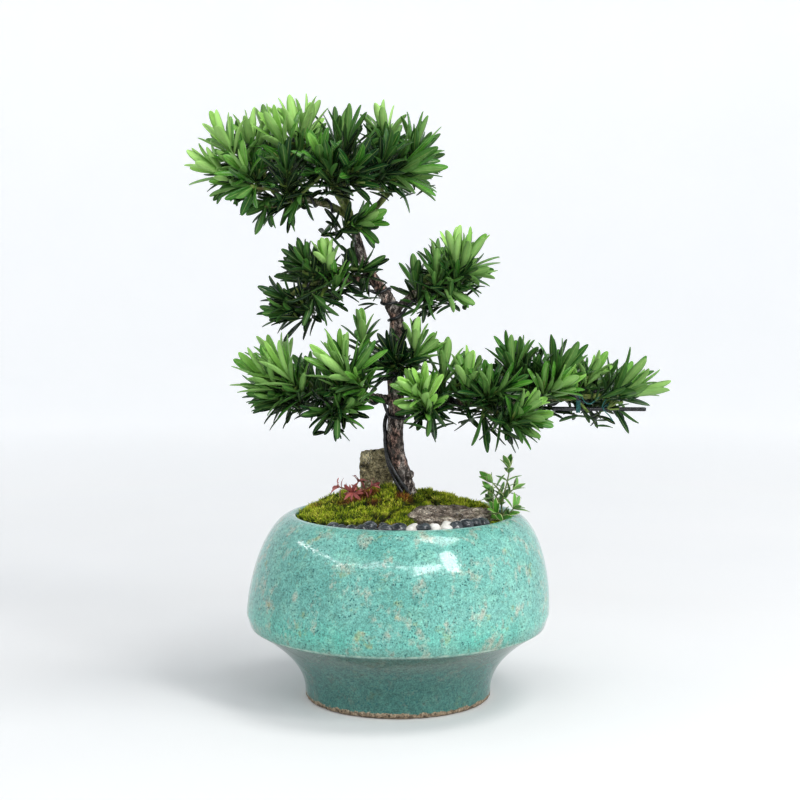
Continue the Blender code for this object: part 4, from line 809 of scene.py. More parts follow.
def glaze_finish():
    """Turquoise glaze: clouded, finely speckled, with dark specks and cream and olive blotches, and painted
    shade that darkens the flare and greys the band under the sharp edge.
    """
    made = Finish("glaze", 0.10)
    height = made.part("Z")
    clouds = made.cloud((24, 4, 0.6), (0.34, (0.135, 0.372, 0.322)), (0.54, (0.180, 0.448, 0.392)),
                        (0.74, (0.228, 0.500, 0.440)))
    at_edge = made.band(height, EDGE_HEIGHT + 1 * MM, BELLY_HEIGHT + 2 * MM, 14 * MM)
    pooled = made.times(at_edge, made.cloud((16, 3), (0.35, 0.05), (0.62, 0.60)))
    pale = made.cloud((70, 3, 0.65), (0.50, 0.0), (0.70, 0.45))
    cream = made.cloud((75, 4, 0.7, made.stretched(1, 1, 0.8)), (0.54, 0.0), (0.66, 0.55))
    olive = made.cloud((88, 3, 0.6, made.stretched(0.9, 1.2, 1.1)), (0.62, 0.0), (0.72, 0.5))
    # Painted shade: the flare under the sharp edge is darkened, and the band round and under the edge greyed,
    # as if in the edge's shadow.
    flare = made.band(height, 0.0, EDGE_HEIGHT - 2 * MM, 1.5 * MM)
    painted_shade_band = made.band(height, EDGE_HEIGHT - 10 * MM, EDGE_HEIGHT - 2 * MM, 10 * MM)
    colour = made.covered(
        clouds, (pooled, (0.100, 0.47, 0.37)), (pale, (0.30, 0.60, 0.47)), (cream, (0.54, 0.46, 0.36)),
        (olive, (0.34, 0.38, 0.14)), (made.times(flare, 0.74), (0.030, 0.105, 0.092)),
        (made.times(painted_shade_band, 0.40), (0.14, 0.15, 0.12)),
    )
    mottle = made.cloud((300, 3, 0.7), (0.36, 0.80), (0.5, 1.0), (0.64, 1.16))
    grain = made.cloud((950, 3, 0.75), (0.36, 0.62), (0.5, 1.0), (0.64, 1.30))
    where = made.cloud((120, 3), (0.42, 0.0), (0.58, 0.85))
    fleck = made.times(made.ramp(made.cells(430), (0.20, 1.0), (0.33, 0.0)), where)
    hairline = made.times(made.line((230, 2, 0.5, None, 1.2), 0.018, 0.55), where)
    spot = made.times(made.ramp(made.cells(115), (0.045, 1.0), (0.085, 0.0)), 0.75)
    worn = made.times(made.band(height, EDGE_HEIGHT - 0.8 * MM, EDGE_HEIGHT + 0.4 * MM, 0.5 * MM),
                      made.cloud((150, 3), (0.42, 0.15), (0.60, 0.75)))
    ragged = made.plus(height, made.times(made.noise(210, 4, 0.7), -7 * MM))
    bare = made.band(ragged, -20 * MM, 0.1 * MM, 0.3 * MM)
    body = made.cloud((420, 4, 0.8), (0.38, (0.035, 0.025, 0.018)), (0.56, (0.36, 0.27, 0.18)),
                      (0.70, (0.62, 0.54, 0.42)))
    colour = made.covered(
        made.shaded(colour, mottle, grain), (fleck, (0.020, 0.120, 0.125)), (hairline, (0.020, 0.110, 0.115)),
        (spot, (0.02, 0.05, 0.045)), (worn, (0.42, 0.55, 0.46)), (bare, body),
    )
    made.set("Roughness", made.ramp(bare, (0.0, 0.09), (1.0, 0.9)))
    crackle = made.ramp(made.cells(330, "DISTANCE_TO_EDGE"), (0.0, 0.0), (0.05, 1.0))
    wavy = made.plus(made.noise(160, 3, 0.5), made.times(made.noise(48, 2, 0.5), 2.2))
    return made.finished(colour, made.plus(wavy, made.times(crackle, 0.06)), 0.35 * MM, 0.5)


def moss_finish():
    """Yellow-green cushions with deeper green between them and brown, dry patches."""
    made = Finish("moss", 0.8)
    green = made.cloud((200, 4, 0.65), (0.36, (0.012, 0.020, 0.002)), (0.5, (0.060, 0.085, 0.006)),
                       (0.68, (0.15, 0.18, 0.012)))
    dry = made.cloud((55, 4, 0.7), (0.60, 0.0), (0.70, 0.75))
    colour = made.covered(green, (dry, (0.07, 0.035, 0.012)))
    grain = made.cloud((1300, 2), (0.38, 0.45), (0.62, 1.4))
    return made.finished(made.shaded(colour, grain), made.noise(900, 4, 0.7), 0.8 * MM)


def moss_tuft_finish():
    """The moss's fine shoots: tint, place along the shoot and dryness come from the mesh. Painted shade
    darkens each shoot towards its foot, and painted light brightens its tip.
    """
    made = Finish("moss_shoots", 0.7)
    tint, along, dry, _ = made.attribute("growth")
    green = made.ramp(tint, (0.0, (0.030, 0.055, 0.004)), (0.35, (0.13, 0.23, 0.005)),
                      (0.7, (0.56, 0.70, 0.012)), (1.0, (0.92, 0.92, 0.13)))
    brown = made.ramp(tint, (0.0, (0.10, 0.035, 0.015)), (0.6, (0.42, 0.13, 0.02)), (1.0, (0.72, 0.36, 0.05)))
    # Painted shade and light: near black at the shoot's foot, brighter than its own colour at its tip.
    painted_shade_along = made.ramp(along, (0.0, 0.04), (0.45, 0.42), (1.0, 1.3))
    return made.finished(made.shaded(made.mix(dry, green, brown), painted_shade_along))


def rock_finish(name, dark, mid, light, layered=False):
    """Coarse rock with dark seams, pale grains and a little lichen."""
    made = Finish(name, 0.92)
    place = made.stretched(1, 1, 3.2) if layered else made.place
    colour = made.shaded(made.cloud((110, 6, 0.72, place), (0.34, dark), (0.5, mid), (0.68, light)),
                         made.cloud((620, 4, 0.8), (0.34, 0.30), (0.5, 1.0), (0.66, 2.1)))
    pale = made.times(made.ramp(made.cells(420), (0.16, 0.6), (0.30, 0.0)),
                      made.cloud((90, 2), (0.45, 0.0), (0.6, 1.0)))
    lichen = made.cloud((60, 3, 0.6), (0.56, 0.0), (0.70, 0.45))
    colour = made.covered(
        colour, (pale, tuple(min(part * 1.5, 0.7) for part in light)),
        (made.line((100, 4, 0.65, place, 1.2), 0.035, 0.85), tuple(part * 0.5 for part in dark)),
        (lichen, (0.15, 0.15, 0.055)),
    )
    return made.finished(colour, made.noise(600, 6, 0.8, place), 1.0 * MM)


def pebble_finish(name, dark, light, roughness):
    made = Finish(name, roughness)
    vein = made.line((90, 2, 0.5, made.stretched(1, 2.5, 1), 1.5), 0.015, 0.35)
    tint = tuple(min(part * 2.2 + 0.05, 0.9) for part in light)
    colour = made.covered(made.cloud((160, 3, 0.6), (0.35, dark), (0.7, light)), (vein, tint))
    return made.finished(colour, made.noise(500, 3), 0.1 * MM)


def bark_finish():
    """Dark grey-brown bark in flakes, with reddish patches where flakes came off, greener at the tips."""
    made = Finish("bark", 0.85)
    long_grain = made.stretched(1, 1, 0.5)
    flakes = made.cloud(
        (380, 6, 0.78, long_grain), (0.40, (0.008, 0.006, 0.005)), (0.48, (0.070, 0.050, 0.042)),
        (0.54, (0.36, 0.31, 0.28)), (0.62, (0.84, 0.78, 0.72)),
    )
    red = made.cloud((95, 4, 0.7, long_grain), (0.50, 0.0), (0.60, 0.6))
    crack = made.line((210, 3, 0.6, long_grain, 0.8), 0.025, 0.9)
    grey = made.cloud((70, 4, 0.65), (0.52, 0.0), (0.68, 0.6))
    green = made.cloud((150, 3), (0.4, (0.090, 0.140, 0.028)), (0.62, (0.32, 0.41, 0.085)))
    colour = made.covered(
        flakes, (red, made.shaded(flakes, (1.0, 0.50, 0.36))), (crack, (0.010, 0.007, 0.006)),
        (grey, (0.13, 0.12, 0.11)), (made.attribute("age")[0], green),
    )
    relief = made.plus(made.noise(600, 5, 0.75, long_grain), made.times(crack, -0.8))
    return made.finished(colour, relief, 1.1 * MM)


def wire_finish():
    """Black coated wire with a clear shine and a little dust."""
    made = Finish("wire", 0.25)
    made.set("Roughness", made.cloud((400, 3), (0.3, 0.18), (0.7, 0.38)))
    colour = made.cloud((260, 3), (0.4, (0.010, 0.011, 0.013)), (0.75, (0.045, 0.047, 0.050)))
    return made.finished(colour, made.noise(800, 2), 0.05 * MM)


def leaf_finish():
    """Leathery blades: tint, side, place across and place along come from the mesh. The tint carries painted
    light and shade as well as the leaves' own colour.
    """
    made = Finish("leaf", 0.36, Specular_IOR_Level=0.32)
    tint, side, across, along = made.attribute("blade")
    tone = made.varied(tint, (140, 3), 0.25)
    # Painted shade and light: the near-black low stops stand for shaded leaves, and the palest stops partly
    # stand for lit ones.
    upper = made.ramp(tone, (0.0, (0.003, 0.014, 0.006)), (0.3, (0.011, 0.062, 0.012)),
                      (0.6, (0.080, 0.270, 0.030)), (1.0, (0.43, 0.76, 0.18)))
    lower = made.ramp(tone, (0.0, (0.010, 0.034, 0.010)), (0.4, (0.070, 0.20, 0.036)),
                      (1.0, (0.46, 0.76, 0.24)))
    top = made.ramp(side, (0.42, 0.0), (0.58, 1.0))
    rib = made.times(made.ramp(across, (0.03, 1.0), (0.11, 0.0)), 0.8)
    foot = made.ramp(along, (0.0, 0.6), (0.22, 0.0))
    colour = made.mix(top, lower, upper)
    for mask, tint in ((rib, (0.45, 0.58, 0.18)), (foot, (0.22, 0.33, 0.06))):
        colour = made.mix(mask, colour, made.mix(0.5, colour, tint))
    made.set("Roughness", made.ramp(top, (0.0, 0.42), (1.0, 0.21)))
    return made.finished(colour, made.plus(made.noise(420, 2), made.times(across, -0.6)), 0.25 * MM, 0.6)


def small_leaf_finish(name, low, high, margin=None):
    made = Finish(name, 0.45)
    tint, side, across, _ = made.attribute("blade")
    colour = made.ramp(made.plus(tint, made.times(made.noise(500, 3), 0.3)), (0.2, low), (1.0, high))
    if margin:
        edge = made.ramp(made.varied(across, (600, 3), 0.4), (0.70, 0.0), (0.76, 1.0))
        colour = made.covered(colour, (edge, margin))
    under = made.ramp(side, (0.42, 0.14), (0.58, 0.0))
    return made.finished(made.covered(colour, (under, (0.55, 0.5, 0.4))), made.noise(900, 2), 0.1 * MM)


def small_stem_finish(name, low, high):
    return plain_finish(name, 0.6, (300, 3), ((0.35, low), (0.7, high)), (700, 2), 0.1 * MM)


# Pot


def lip_curve(steps=16):
    """The rounded lip, from its outer top over to the inside of the mouth."""
    radius = LIP_THICKNESS / 2
    curve = []
    for step in range(steps + 1):
        turn = math.radians(90 + 180 * step / steps)
        curve.append((LIP_RADIUS + radius * math.cos(turn), POT_HEIGHT - radius + radius * math.sin(turn)))
    return curve


def shoulder_curve(outer_radius, top, steps):
    """From the belly's widest level up to the mouth, as a superellipse."""
    power = 2 / SHOULDER_ROUNDNESS
    curve = []
    for step in range(steps + 1):
        angle = math.pi / 2 * step / (steps + 0.6)
        curve.append((
            LIP_RADIUS + (outer_radius - LIP_RADIUS) * math.cos(angle) ** power,
            BELLY_HEIGHT + (top - BELLY_HEIGHT) * math.sin(angle) ** power,
        ))
    return curve


def flare_curve(foot_radius, edge_radius, low, high, steps):
    """The hollow curve from the foot up to the sharp edge under the belly."""
    curve = []
    for step in range(steps + 1):
        rise = step / steps
        radius = foot_radius + (edge_radius - foot_radius) * rise**FLARE_CURVE
        curve.append((radius, low + (high - low) * rise))
    return curve


def inner_wall(gap=0.0, steps=14):
    """The inside of the pot from its floor to under the lip, moved inwards by the gap."""
    floor = FOOT_RECESS + FLOOR_THICKNESS
    flare = flare_curve(FLOOR_RADIUS, EDGE_RADIUS - EDGE_WALL, floor, EDGE_HEIGHT + 2 * MM, steps)
    shoulder = shoulder_curve(BELLY_RADIUS - WALL, POT_HEIGHT - WALL, steps)
    return [(radius - gap, max(height, floor + gap)) for radius, height in flare + shoulder]


def pot_profile():
    """The wall's closed section, down the outside, under the foot and up the inside."""
    shoulder = shoulder_curve(BELLY_RADIUS, POT_HEIGHT, 40)[:-1]
    flare = flare_curve(FOOT_RADIUS, EDGE_RADIUS - 0.4 * MM, 3 * MM, EDGE_HEIGHT - 0.3 * MM, 24)
    foot_inner = FOOT_RADIUS - FOOT_RING_WIDTH
    under_shoulder = [
        (BELLY_RADIUS - 0.25 * MM, BELLY_HEIGHT - 1.2 * MM),
        (EDGE_RADIUS + 0.25 * MM, EDGE_HEIGHT + 0.9 * MM),
    ]
    under_foot = [
        (FOOT_RADIUS - 0.1 * MM, 1.6 * MM), (FOOT_RADIUS - 0.6 * MM, 0.5 * MM), (FOOT_RADIUS - 1.5 * MM, 0),
        (foot_inner, 0), (foot_inner - 1.5 * MM, FOOT_RECESS),
        (DRAIN_RADIUS, FOOT_RECESS), (DRAIN_RADIUS, FOOT_RECESS + FLOOR_THICKNESS),
    ]
    lip = lip_curve()
    outside = lip[:1] + shoulder[::-1] + under_shoulder + flare[::-1]
    return outside + under_foot + inner_wall() + lip[:0:-1]


def leaned(points):
    """The points of the pot or of what fills it, moved to where the mouth stands, from the belly up."""
    span = POT_HEIGHT - BELLY_HEIGHT
    return [(x + MOUTH_SHIFT * max((z - BELLY_HEIGHT) / span, 0), y, z) for x, y, z in points]


def pot_wobble(angle, radius, height):
    """The small unevenness of a hand-thrown pot. It only takes away, so the pot keeps its size."""
    outward = Vector((math.cos(angle), math.sin(angle), 0))
    slow = 0.5 + 0.5 * noise.noise(outward * 2.2 + Vector((0, 0, height * 25)))
    chip = max(noise.noise(outward * 26 + Vector((0, 0, 7))), 0)
    low = max(1 - height / (2.6 * MM), 0) * chip * 2.2 * MM if radius > FOOT_RADIUS - 2 * MM else 0
    return -0.45 * MM * slow - low


def make_pot():
    points, faces = turned(pot_profile(), POT_SIDES, pot_wobble)
    shape = leaned(points), [tuple(reversed(face)) for face in faces]
    piece = add_piece("pot_glazed", shape, glaze_finish(), "pot")
    piece.data.set_sharp_from_angle(angle=math.radians(40))


def make_drain():
    """The CAD's own mesh over the drain hole, in black plastic."""
    colours = (0.3, (0.012, 0.012, 0.012)), (0.7, (0.035, 0.035, 0.035))
    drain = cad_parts["drain_mesh"].data
    drain.materials.clear()
    drain.materials.append(plain_finish("plastic", 0.55, (300, 2), colours, (700, 2), 0.05 * MM))


# Ground


def on_ring(radius, turn):
    """The place on a ring round the mouth, the turn in radians."""
    return MOUTH_SHIFT + radius * math.cos(turn), radius * math.sin(turn)


def ground_height(x, y):
    """The soil's level: flat at the rim and raised in a mound round the trunk."""
    across = (x - MOUND_CENTRE[0]) / MOUND_SPREAD[0]
    deep = (y - MOUND_CENTRE[1]) / MOUND_SPREAD[1]
    beyond = (math.hypot(x - MOUTH_SHIFT, y) - MOUND_REACH[0]) / (MOUND_REACH[1] - MOUND_REACH[0])
    return SOIL_LEVEL + MOUND_HEIGHT * math.exp(-(across**2) - deep**2) * (1 - clamped(beyond))


def make_soil(finish):
    """The pot's filling, with a crumbly top."""
    wall = [place for place in inner_wall(SOIL_GAP) if place[1] < SOIL_LEVEL - 0.5 * MM]
    floor = wall[0][1]
    section = [(SOIL_CENTRE, floor + DRAIN_ROOM), (DRAIN_ROOM_RADIUS, floor + DRAIN_ROOM)]
    section += [(DRAIN_ROOM_RADIUS, floor)] + wall
    for ring in range(SOIL_RINGS + 1):
        section.append((SOIL_RIM + (SOIL_CENTRE - SOIL_RIM) * ring / SOIL_RINGS, SOIL_LEVEL))
    points, faces = turned(section, SOIL_SIDES)
    uneven = []
    for x, y, z in leaned(points):
        if z >= SOIL_LEVEL:
            inside = clamped((SOIL_RIM - math.hypot(x - MOUTH_SHIFT, y)) / SOIL_EDGE)
            crumbs = noise.fractal(Vector((x, y, 0)) * 260, 0.8, 2.0, 4)
            z = ground_height(x, y) + CRUMB_HEIGHT * crumbs * inside
        uneven.append((x, y, z))
    add_piece("soil_filling", (uneven, faces), finish, "soil")


def grain_shape(place, size, generator):
    """One crumb: a cube pushed out of shape."""
    points = []
    for corner in range(8):
        signs = [1 if corner >> axis & 1 else -1 for axis in range(3)]
        points.append(place + Vector([sign * generator.uniform(0.35, 0.75) for sign in signs]) * size)
    return points, [(0, 2, 3, 1), (4, 5, 7, 6), (0, 1, 5, 4), (2, 6, 7, 3), (0, 4, 6, 2), (1, 3, 7, 5)]


def make_grains(finish, generator):
    shapes = []
    for _ in range(GRAIN_COUNT):
        radius = GRAIN_REACH * math.sqrt(generator.random())
        x, y = on_ring(radius, generator.uniform(0, 2 * math.pi))
        size = generator.uniform(*GRAIN_SIZE) * MM
        shapes.append(grain_shape(Vector((x, y, ground_height(x, y) + 0.3 * size)), size, generator))
    add_piece("soil_grains", joined(shapes), finish, smooth=False)


def cushion(place):
    """How far this place stands out of the creases between the moss's cushions, about -0.5 to 0.5."""
    return 0.5 - noise.voronoi(place * 185)[0][0]


def cushions(place, normal):
    """How the moss's skin swells in cushions, with fine lumps on them."""
    swell = noise.fractal(place * 120, 0.8, 2.1, 2) * 1.8 * MM + cushion(place) * 4.2 * MM
    fine = noise.noise(place * 900) * 0.5 * MM
    return normal * (swell + fine - 1.0 * MM) if normal.z > 0 else Vector((0, 0, 0))


def moss_shoot(root, normal, generator):
    """One tiny three-sided shoot: points, faces and colour values."""
    lean = Vector([generator.uniform(-0.85, 0.85) for _ in range(3)])
    up = (normal * 0.8 + Vector((0, 0, 0.4)) + lean).normalized()
    tall = generator.uniform(*MOSS_TALL) * MM
    wide = generator.uniform(*MOSS_WIDE) * MM
    # The tint is partly painted shade: lower for shoots in the creases between cushions, higher on their
    # tops, and otherwise random.
    tint = 0.40 + 1.5 * cushion(root) + 0.35 * noise.noise(root * 60) + generator.uniform(-0.3, 0.4)
    dry = (noise.noise(root * 52 + Vector((3, 1, 7))) - 0.22) * 4
    for x, y, reach in DRY_MOSS:
        away = math.hypot(root.x - x * MM, root.y - y * MM) / (reach * MM)
        dry = max(dry, 1.7 - 1.5 * away + 0.8 * noise.noise(root * 300))
    tint, dry = clamped(tint), clamped(dry)
    values = [(tint, 0.0, dry, 1.0)] * 3 + [(tint, 1.0, dry, 1.0)]
    points = [root - up * 0.4 * MM + around(up, 2 * math.pi * k / 3) * wide for k in range(3)]
    points.append(root + up * tall)
    return points, [(0, 1, 3), (1, 2, 3), (2, 0, 3), (2, 1, 0)], values


def add_moss_shoots(name, roots, finish, generator):
    """A piece of shoots that stand on these places, each given with its surface's direction."""
    grown = [moss_shoot(root, normal, generator) for root, normal in roots]
    mesh = new_mesh(name, *joined([(points, faces) for points, faces, _ in grown]))
    paint(mesh, "growth", [value for _, _, values in grown for value in values])
    add_piece(name, mesh, finish, smooth=False)


def make_moss(generator):
    skin = moss_finish()
    finish = moss_tuft_finish()
    for node, count in MOSS_SHOOTS.items():
        mesh = displaced(remeshed_node(node, MOSS_SKIN, 3), cushions)
        faces = [face for face in mesh.polygons if face.normal.z > 0.15]
        chosen = generator.choices(faces, weights=[face.area for face in faces], k=count)
        roots = [(face.center - AXIS, face.normal.copy()) for face in chosen]
        add_piece(node + "_mound", mesh, skin, node)
        add_moss_shoots(node + "_shoots", roots, finish, generator)
    roots = []
    for x, y, reach, count in MOSS_PATCHES:
        for _ in range(count):
            turn = generator.uniform(0, 2 * math.pi)
            away = reach * MM * generator.random() ** 0.6
            place = Vector((x * MM + away * math.cos(turn), y * MM + away * math.sin(turn), 0))
            place.z = ground_height(place.x, place.y)
            roots.append((place, Vector((0, 0, 1))))
    add_moss_shoots("moss_patch_shoots", roots, finish, generator)


def porous(place, normal):
    """How the standing rock's skin is roughened and pitted."""
    coarse = noise.fractal(place * 95, 0.8, 2.2, 4) * 1.3 * MM
    pits = min(noise.noise(place * 380) + 0.12, 0) * 3.0 * MM
    return normal * (coarse + pits - 0.3 * MM)


def layers(place, normal):
    """How the flat rock's skin is broken: steps on its sides, and flakes, cracks and plates on top."""
    x, y, z = place
    level = math.floor((z + 0.16 * y) / (1.5 * MM))
    step = wave(x * 45, y * 45, level * 3.7) * 2.0 * MM
    flakes = abs(wave(x * 70 + y * 40, y * 190, z * 60)) * -2.4 * MM
    rough = noise.fractal(Vector((x * 120, y * 160, z * 380)), 0.8, 2.1, 4) * 0.8 * MM
    crack = max(0.12 - abs(wave(x * 85 + y * 60, y * 130, z * 90)), 0) * -20 * MM
    plate = math.floor(wave(x * 42, y * 90, 5) * 5) * 0.6 * MM
    side = Vector((normal.x, normal.y, 0))
    return side * step + normal * (rough + max(normal.z, 0) * (flakes + crack + plate))


def make_stones():
    standing = displaced(remeshed_node("standing_stone", STANDING_ROCK_SKIN, 4), porous)
    finish = rock_finish("grey_rock", (0.030, 0.025, 0.013), (0.42, 0.365, 0.215), (0.88, 0.80, 0.54))
    add_piece("standing_rock", standing, finish, "standing_stone")
    flat = displaced(remeshed_node("flat_stone", FLAT_ROCK_SKIN, 2), layers)
    finish = rock_finish("slate_rock", (0.040, 0.029, 0.021), (0.25, 0.205, 0.165), (0.76, 0.69, 0.58), True)
    add_piece("flat_rock", flat, finish, "flat_stone")


def pebble_shape(radius, turn, generator, scale, lift=PEBBLE_LIFT):
    """One worn pebble on the ring of this radius round the mouth, lying on the soil."""
    x, y = on_ring(radius, math.radians(turn))
    size = [part * scale * generator.uniform(0.90, 1.08) for part in PEBBLE_SIZE]
    angle = math.radians(turn + 90 + generator.uniform(-28, 28))
    bm = bmesh.new()
    bmesh.ops.create_uvsphere(bm, u_segments=28, v_segments=16, radius=1)
    seed = Vector((x, y, 0)) * 900
    for vert in bm.verts:
        direction = vert.co.normalized()
        lumpy = 1 + 0.20 * noise.noise(direction * 1.1 + seed)
        vert.co = Vector([part * half for part, half in zip(direction, size)]) * lumpy
    rest = ground_height(x, y) + size[2] + lift
    place = Matrix.Translation((x, y, rest)) @ Matrix.Rotation(angle, 4, "Z")
    bmesh.ops.transform(bm, matrix=place, verts=bm.verts)
    points = [vert.co.copy() for vert in bm.verts]
    faces = [tuple(vert.index for vert in face.verts) for face in bm.faces]
    bm.free()
    return points, faces


def sunk_lift(turn):
    """How high a pebble of the front row lies. Those to the left sink into the soil."""
    return PEBBLE_LIFT - SUNK_DEPTH * clamped((SUNK_BEFORE - turn) / SUNK_SPAN)


def pebble_places():
    """The pebbles' rings and angles, and whether each is white, with room for the larger white ones."""
    places = []
    for row, (radius, first, last) in enumerate(PEBBLE_ROWS):
        step = math.degrees(PEBBLE_PITCH / radius)
        for index in range(int((last - first) / step) + 1):
            turn = first + index * step
            beside = [white for white in WHITE_PEBBLES if abs(turn - white) < 1.12 * step]
            if row == 0 or not beside:
                places.append((radius, turn, row == 0 and index in WHITE_IN_ROW))
    return places


def make_pebbles():
    generator = random.Random(PEBBLE_SEED)
    shapes = {False: [], True: []}
    for radius, turn, white in pebble_places():
        shapes[white].append(pebble_shape(radius, turn, generator, ROW_SCALE[white], sunk_lift(turn)))
    for radius, turn, scale, lift in LOOSE_DARK:
        shapes[False].append(pebble_shape(radius * MM, turn, generator, scale, lift * MM))
    dark = pebble_finish("dark_pebble", (0.012, 0.015, 0.018), (0.075, 0.088, 0.100), 0.20)
    white = pebble_finish("white_pebble", (0.62, 0.60, 0.55), (0.86, 0.85, 0.82), 0.35)
    add_piece("pebbles_dark", joined(shapes[False]), dark, "dark_pebbles")
    for number, turn in enumerate(WHITE_PEBBLES, 1):
        shape = pebble_shape(WHITE_PEBBLE_RADIUS, turn, generator, WHITE_PEBBLE_SCALE)
        add_piece(f"pebble_white_{number}", shape, white, f"white_pebble_{number}")
    add_piece("pebbles_white_in_row", joined(shapes[True]), white)
    for number, (radius, turn, scale, lift) in enumerate(LOOSE_WHITE, 1):
        shape = pebble_shape(radius * MM, turn, generator, scale, lift * MM)
        add_piece(f"pebble_white_small_{number}", shape, white)


# Wood and wires


def fissures(place, normal):
    """How the bark is ridged along the trunk, lumpy and flaked, less so on the limbs."""
    x, y, z = place
    thick = 1.0 if z < 300 * MM and abs(x) < 25 * MM else 0.45
    ridges = (0.5 - abs(wave(x * 430, y * 430, z * 150))) * 1.5 * MM
    lumps = noise.noise(place * 90) * 0.55 * MM
    flakes = wave(x * 900, y * 900, z * 380) * 0.18 * MM
    return normal * (ridges + lumps + flakes - 0.2 * MM) * thick


def make_wood():
    """Trunk and limbs under one bark, fissured along the trunk. Returns its search tree."""
    shapes = []
    for name in LIMBS:
        path = limb_path(name, 1.5 * MM)
        shapes.append(sweep([point.to_3d() for point in path], [point[3] for point in path], LIMB_SIDES))
    shapes.append(sweep(metres(KNOT), KNOT_RADII, 12))
    mesh = displaced(remeshed(new_mesh("wood", *joined(shapes)), BARK_SKIN, 2), fissures)
    ends = [Vector(LIMBS[name][-1][:3]) * MM for name in LIMBS if name != "trunk"]
    ages = []
    for vert in mesh.vertices:
        place = vert.co - AXIS
        young = 1 - min((place - end).length for end in ends) / YOUNG_WOOD
        if place.x > YOUNG_EDGE:
            young = max(young, (place.z - YOUNG_HEIGHT) / YOUNG_WOOD)
        ages.append((min(max(young, 0) * 1.5, 0.85), 0, 0, 0))
    paint(mesh, "age", ages)
    add_piece("wood_bark", mesh, bark_finish(), "trunk")
    return tree_of(mesh)


def wound(limb, start, end, turns, first_angle, stand_off, radius):
    """Points of a coil round the limb, on its bark."""
    path = limb_path(limb)
    first = round(start * (len(path) - 1))
    last = round(end * (len(path) - 1))
    side = Vector((0, -1, 0)) if limb == "trunk" else Vector((0, 0, 1))
    points = []
    for index in range(first, last + 1):
        tangent = direction_at(path, index)
        across = (side - tangent * side.dot(tangent)).normalized()
        share = (index - first) / max(last - first, 1)
        angle = math.radians(first_angle) + 2 * math.pi * turns * share
        outward = tilted(across, tangent.cross(across), angle)
        lifted = stand_off * MM * math.sin(math.pi * share)
        points.append(path[index].to_3d() + outward * (path[index][3] + radius + lifted))
    return points


def push_clear(point, placed, clearance):
    """The point moved until it is this far outside every placed mesh."""
    for _ in range(3):
        for tree in placed:
            near, normal, _, distance = tree.find_nearest(point, clearance * 4)
            if near is None:
                continue
            inside = (point - near).dot(normal) < 0
            if inside or distance < clearance:
                away = normal if inside or distance < 0.05 * MM else (point - near).normalized()
                point = near + away * clearance
    return point


def make_wires(bark, finish):
    """The training wires, each wound in its turn so that it lies on the bark and on the wires before it."""
    placed = [bark]
    for name, (radius, stretches) in WIRES.items():
        radius *= MM
        clearance = radius * 0.97
        route = []
        for stretch in stretches:
            route += wound(*stretch, radius)[::3]
        path = smooth_path(route, 1.5 * MM)
        for _ in range(6):
            path = [push_clear(point, placed, clearance) for point in path]
            middles = [before.lerp(after, 0.5) for before, after in zip(path, path[2:])]
            path[1:-1] = [point.lerp(middle, 0.5) for point, middle in zip(path[1:], middles)]
        path = smooth_path([push_clear(point, placed, clearance) for point in path], 0.8 * MM)
        mesh = new_mesh(name, *cut_sweep(path, WIRE_SIDES, radius))
        add_piece(name + "_wound", mesh, finish, name)
        placed.append(tree_of(mesh))


def make_brace(finish):
    """The rod under the long branch, with the string that ties it there."""
    first, last = metres(BRACE_ROD[:2])
    path = [first.lerp(last, step / ROD_STEPS) for step in range(ROD_STEPS + 1)]
    add_piece("rod_tied", cut_sweep(path, 24, BRACE_ROD[2] * MM), finish, "brace_rod")
    coil = []
    for step in range(COIL_STEPS):
        turn = 2 * math.pi * step / COIL_STEPS_A_TURN
        x = COIL_START + COIL_LENGTH * step / COIL_STEPS
        y = COIL_MIDDLE[0] - COIL_REACH[0] * math.sin(turn)
        coil.append((x, y, COIL_MIDDLE[1] + COIL_REACH[1] * math.cos(turn)))
    knot = []
    for k in range(KNOT_POINTS):
        sways = (math.cos(k), -math.sin(k * 1.1), math.sin(k + 0.6))
        knot.append([middle + reach * sway for middle, reach, sway in zip(KNOT_MIDDLE, KNOT_REACH, sways)])
    strings = [smooth_path(metres(route), 0.7 * MM) for route in (coil + STRING_END, STRING_TAIL, knot)]
    shape = joined([tapered_sweep(path, 8, STRING_RADIUS, STRING_RADIUS) for path in strings])
    colours = (0.35, (0.02, 0.10, 0.10)), (0.65, (0.06, 0.24, 0.22))
    string = plain_finish("string", 0.8, (900, 2), colours, (1500, 2), 0.1 * MM)
    add_piece("rod_string", shape, string)


# Foliage

BLADE_STATIONS = np.array((0.0, 0.08, 0.2, 0.36, 0.54, 0.71, 0.85, 0.94, 0.985, 1.0))
RING_ACROSS = np.array((-1, -0.5, 0, 0.5, 1, 0.5, 0, -0.5))
RING_UNDER = np.array((0, 0, 0, 0, 0, 0.45, 1, 0.45))
RING_SIDE = np.array((0.5, 1, 1, 1, 0.5, 0, 0, 0))
RING_LIFT = np.array((1.0, 0.72, 0, 0.72, 1.0, 0.72, 0, 0.72))


def blade_outline(share):
    """Half the blade's width along it, as a share of its greatest: narrow foot, widest past the middle."""
    return np.sin(np.pi * share**1.5) ** 0.5


def oval_outline(share):
    """Half the width of a pointed oval leaf, as a share of its greatest."""
    return np.sin(np.pi * share**0.9) ** 0.72


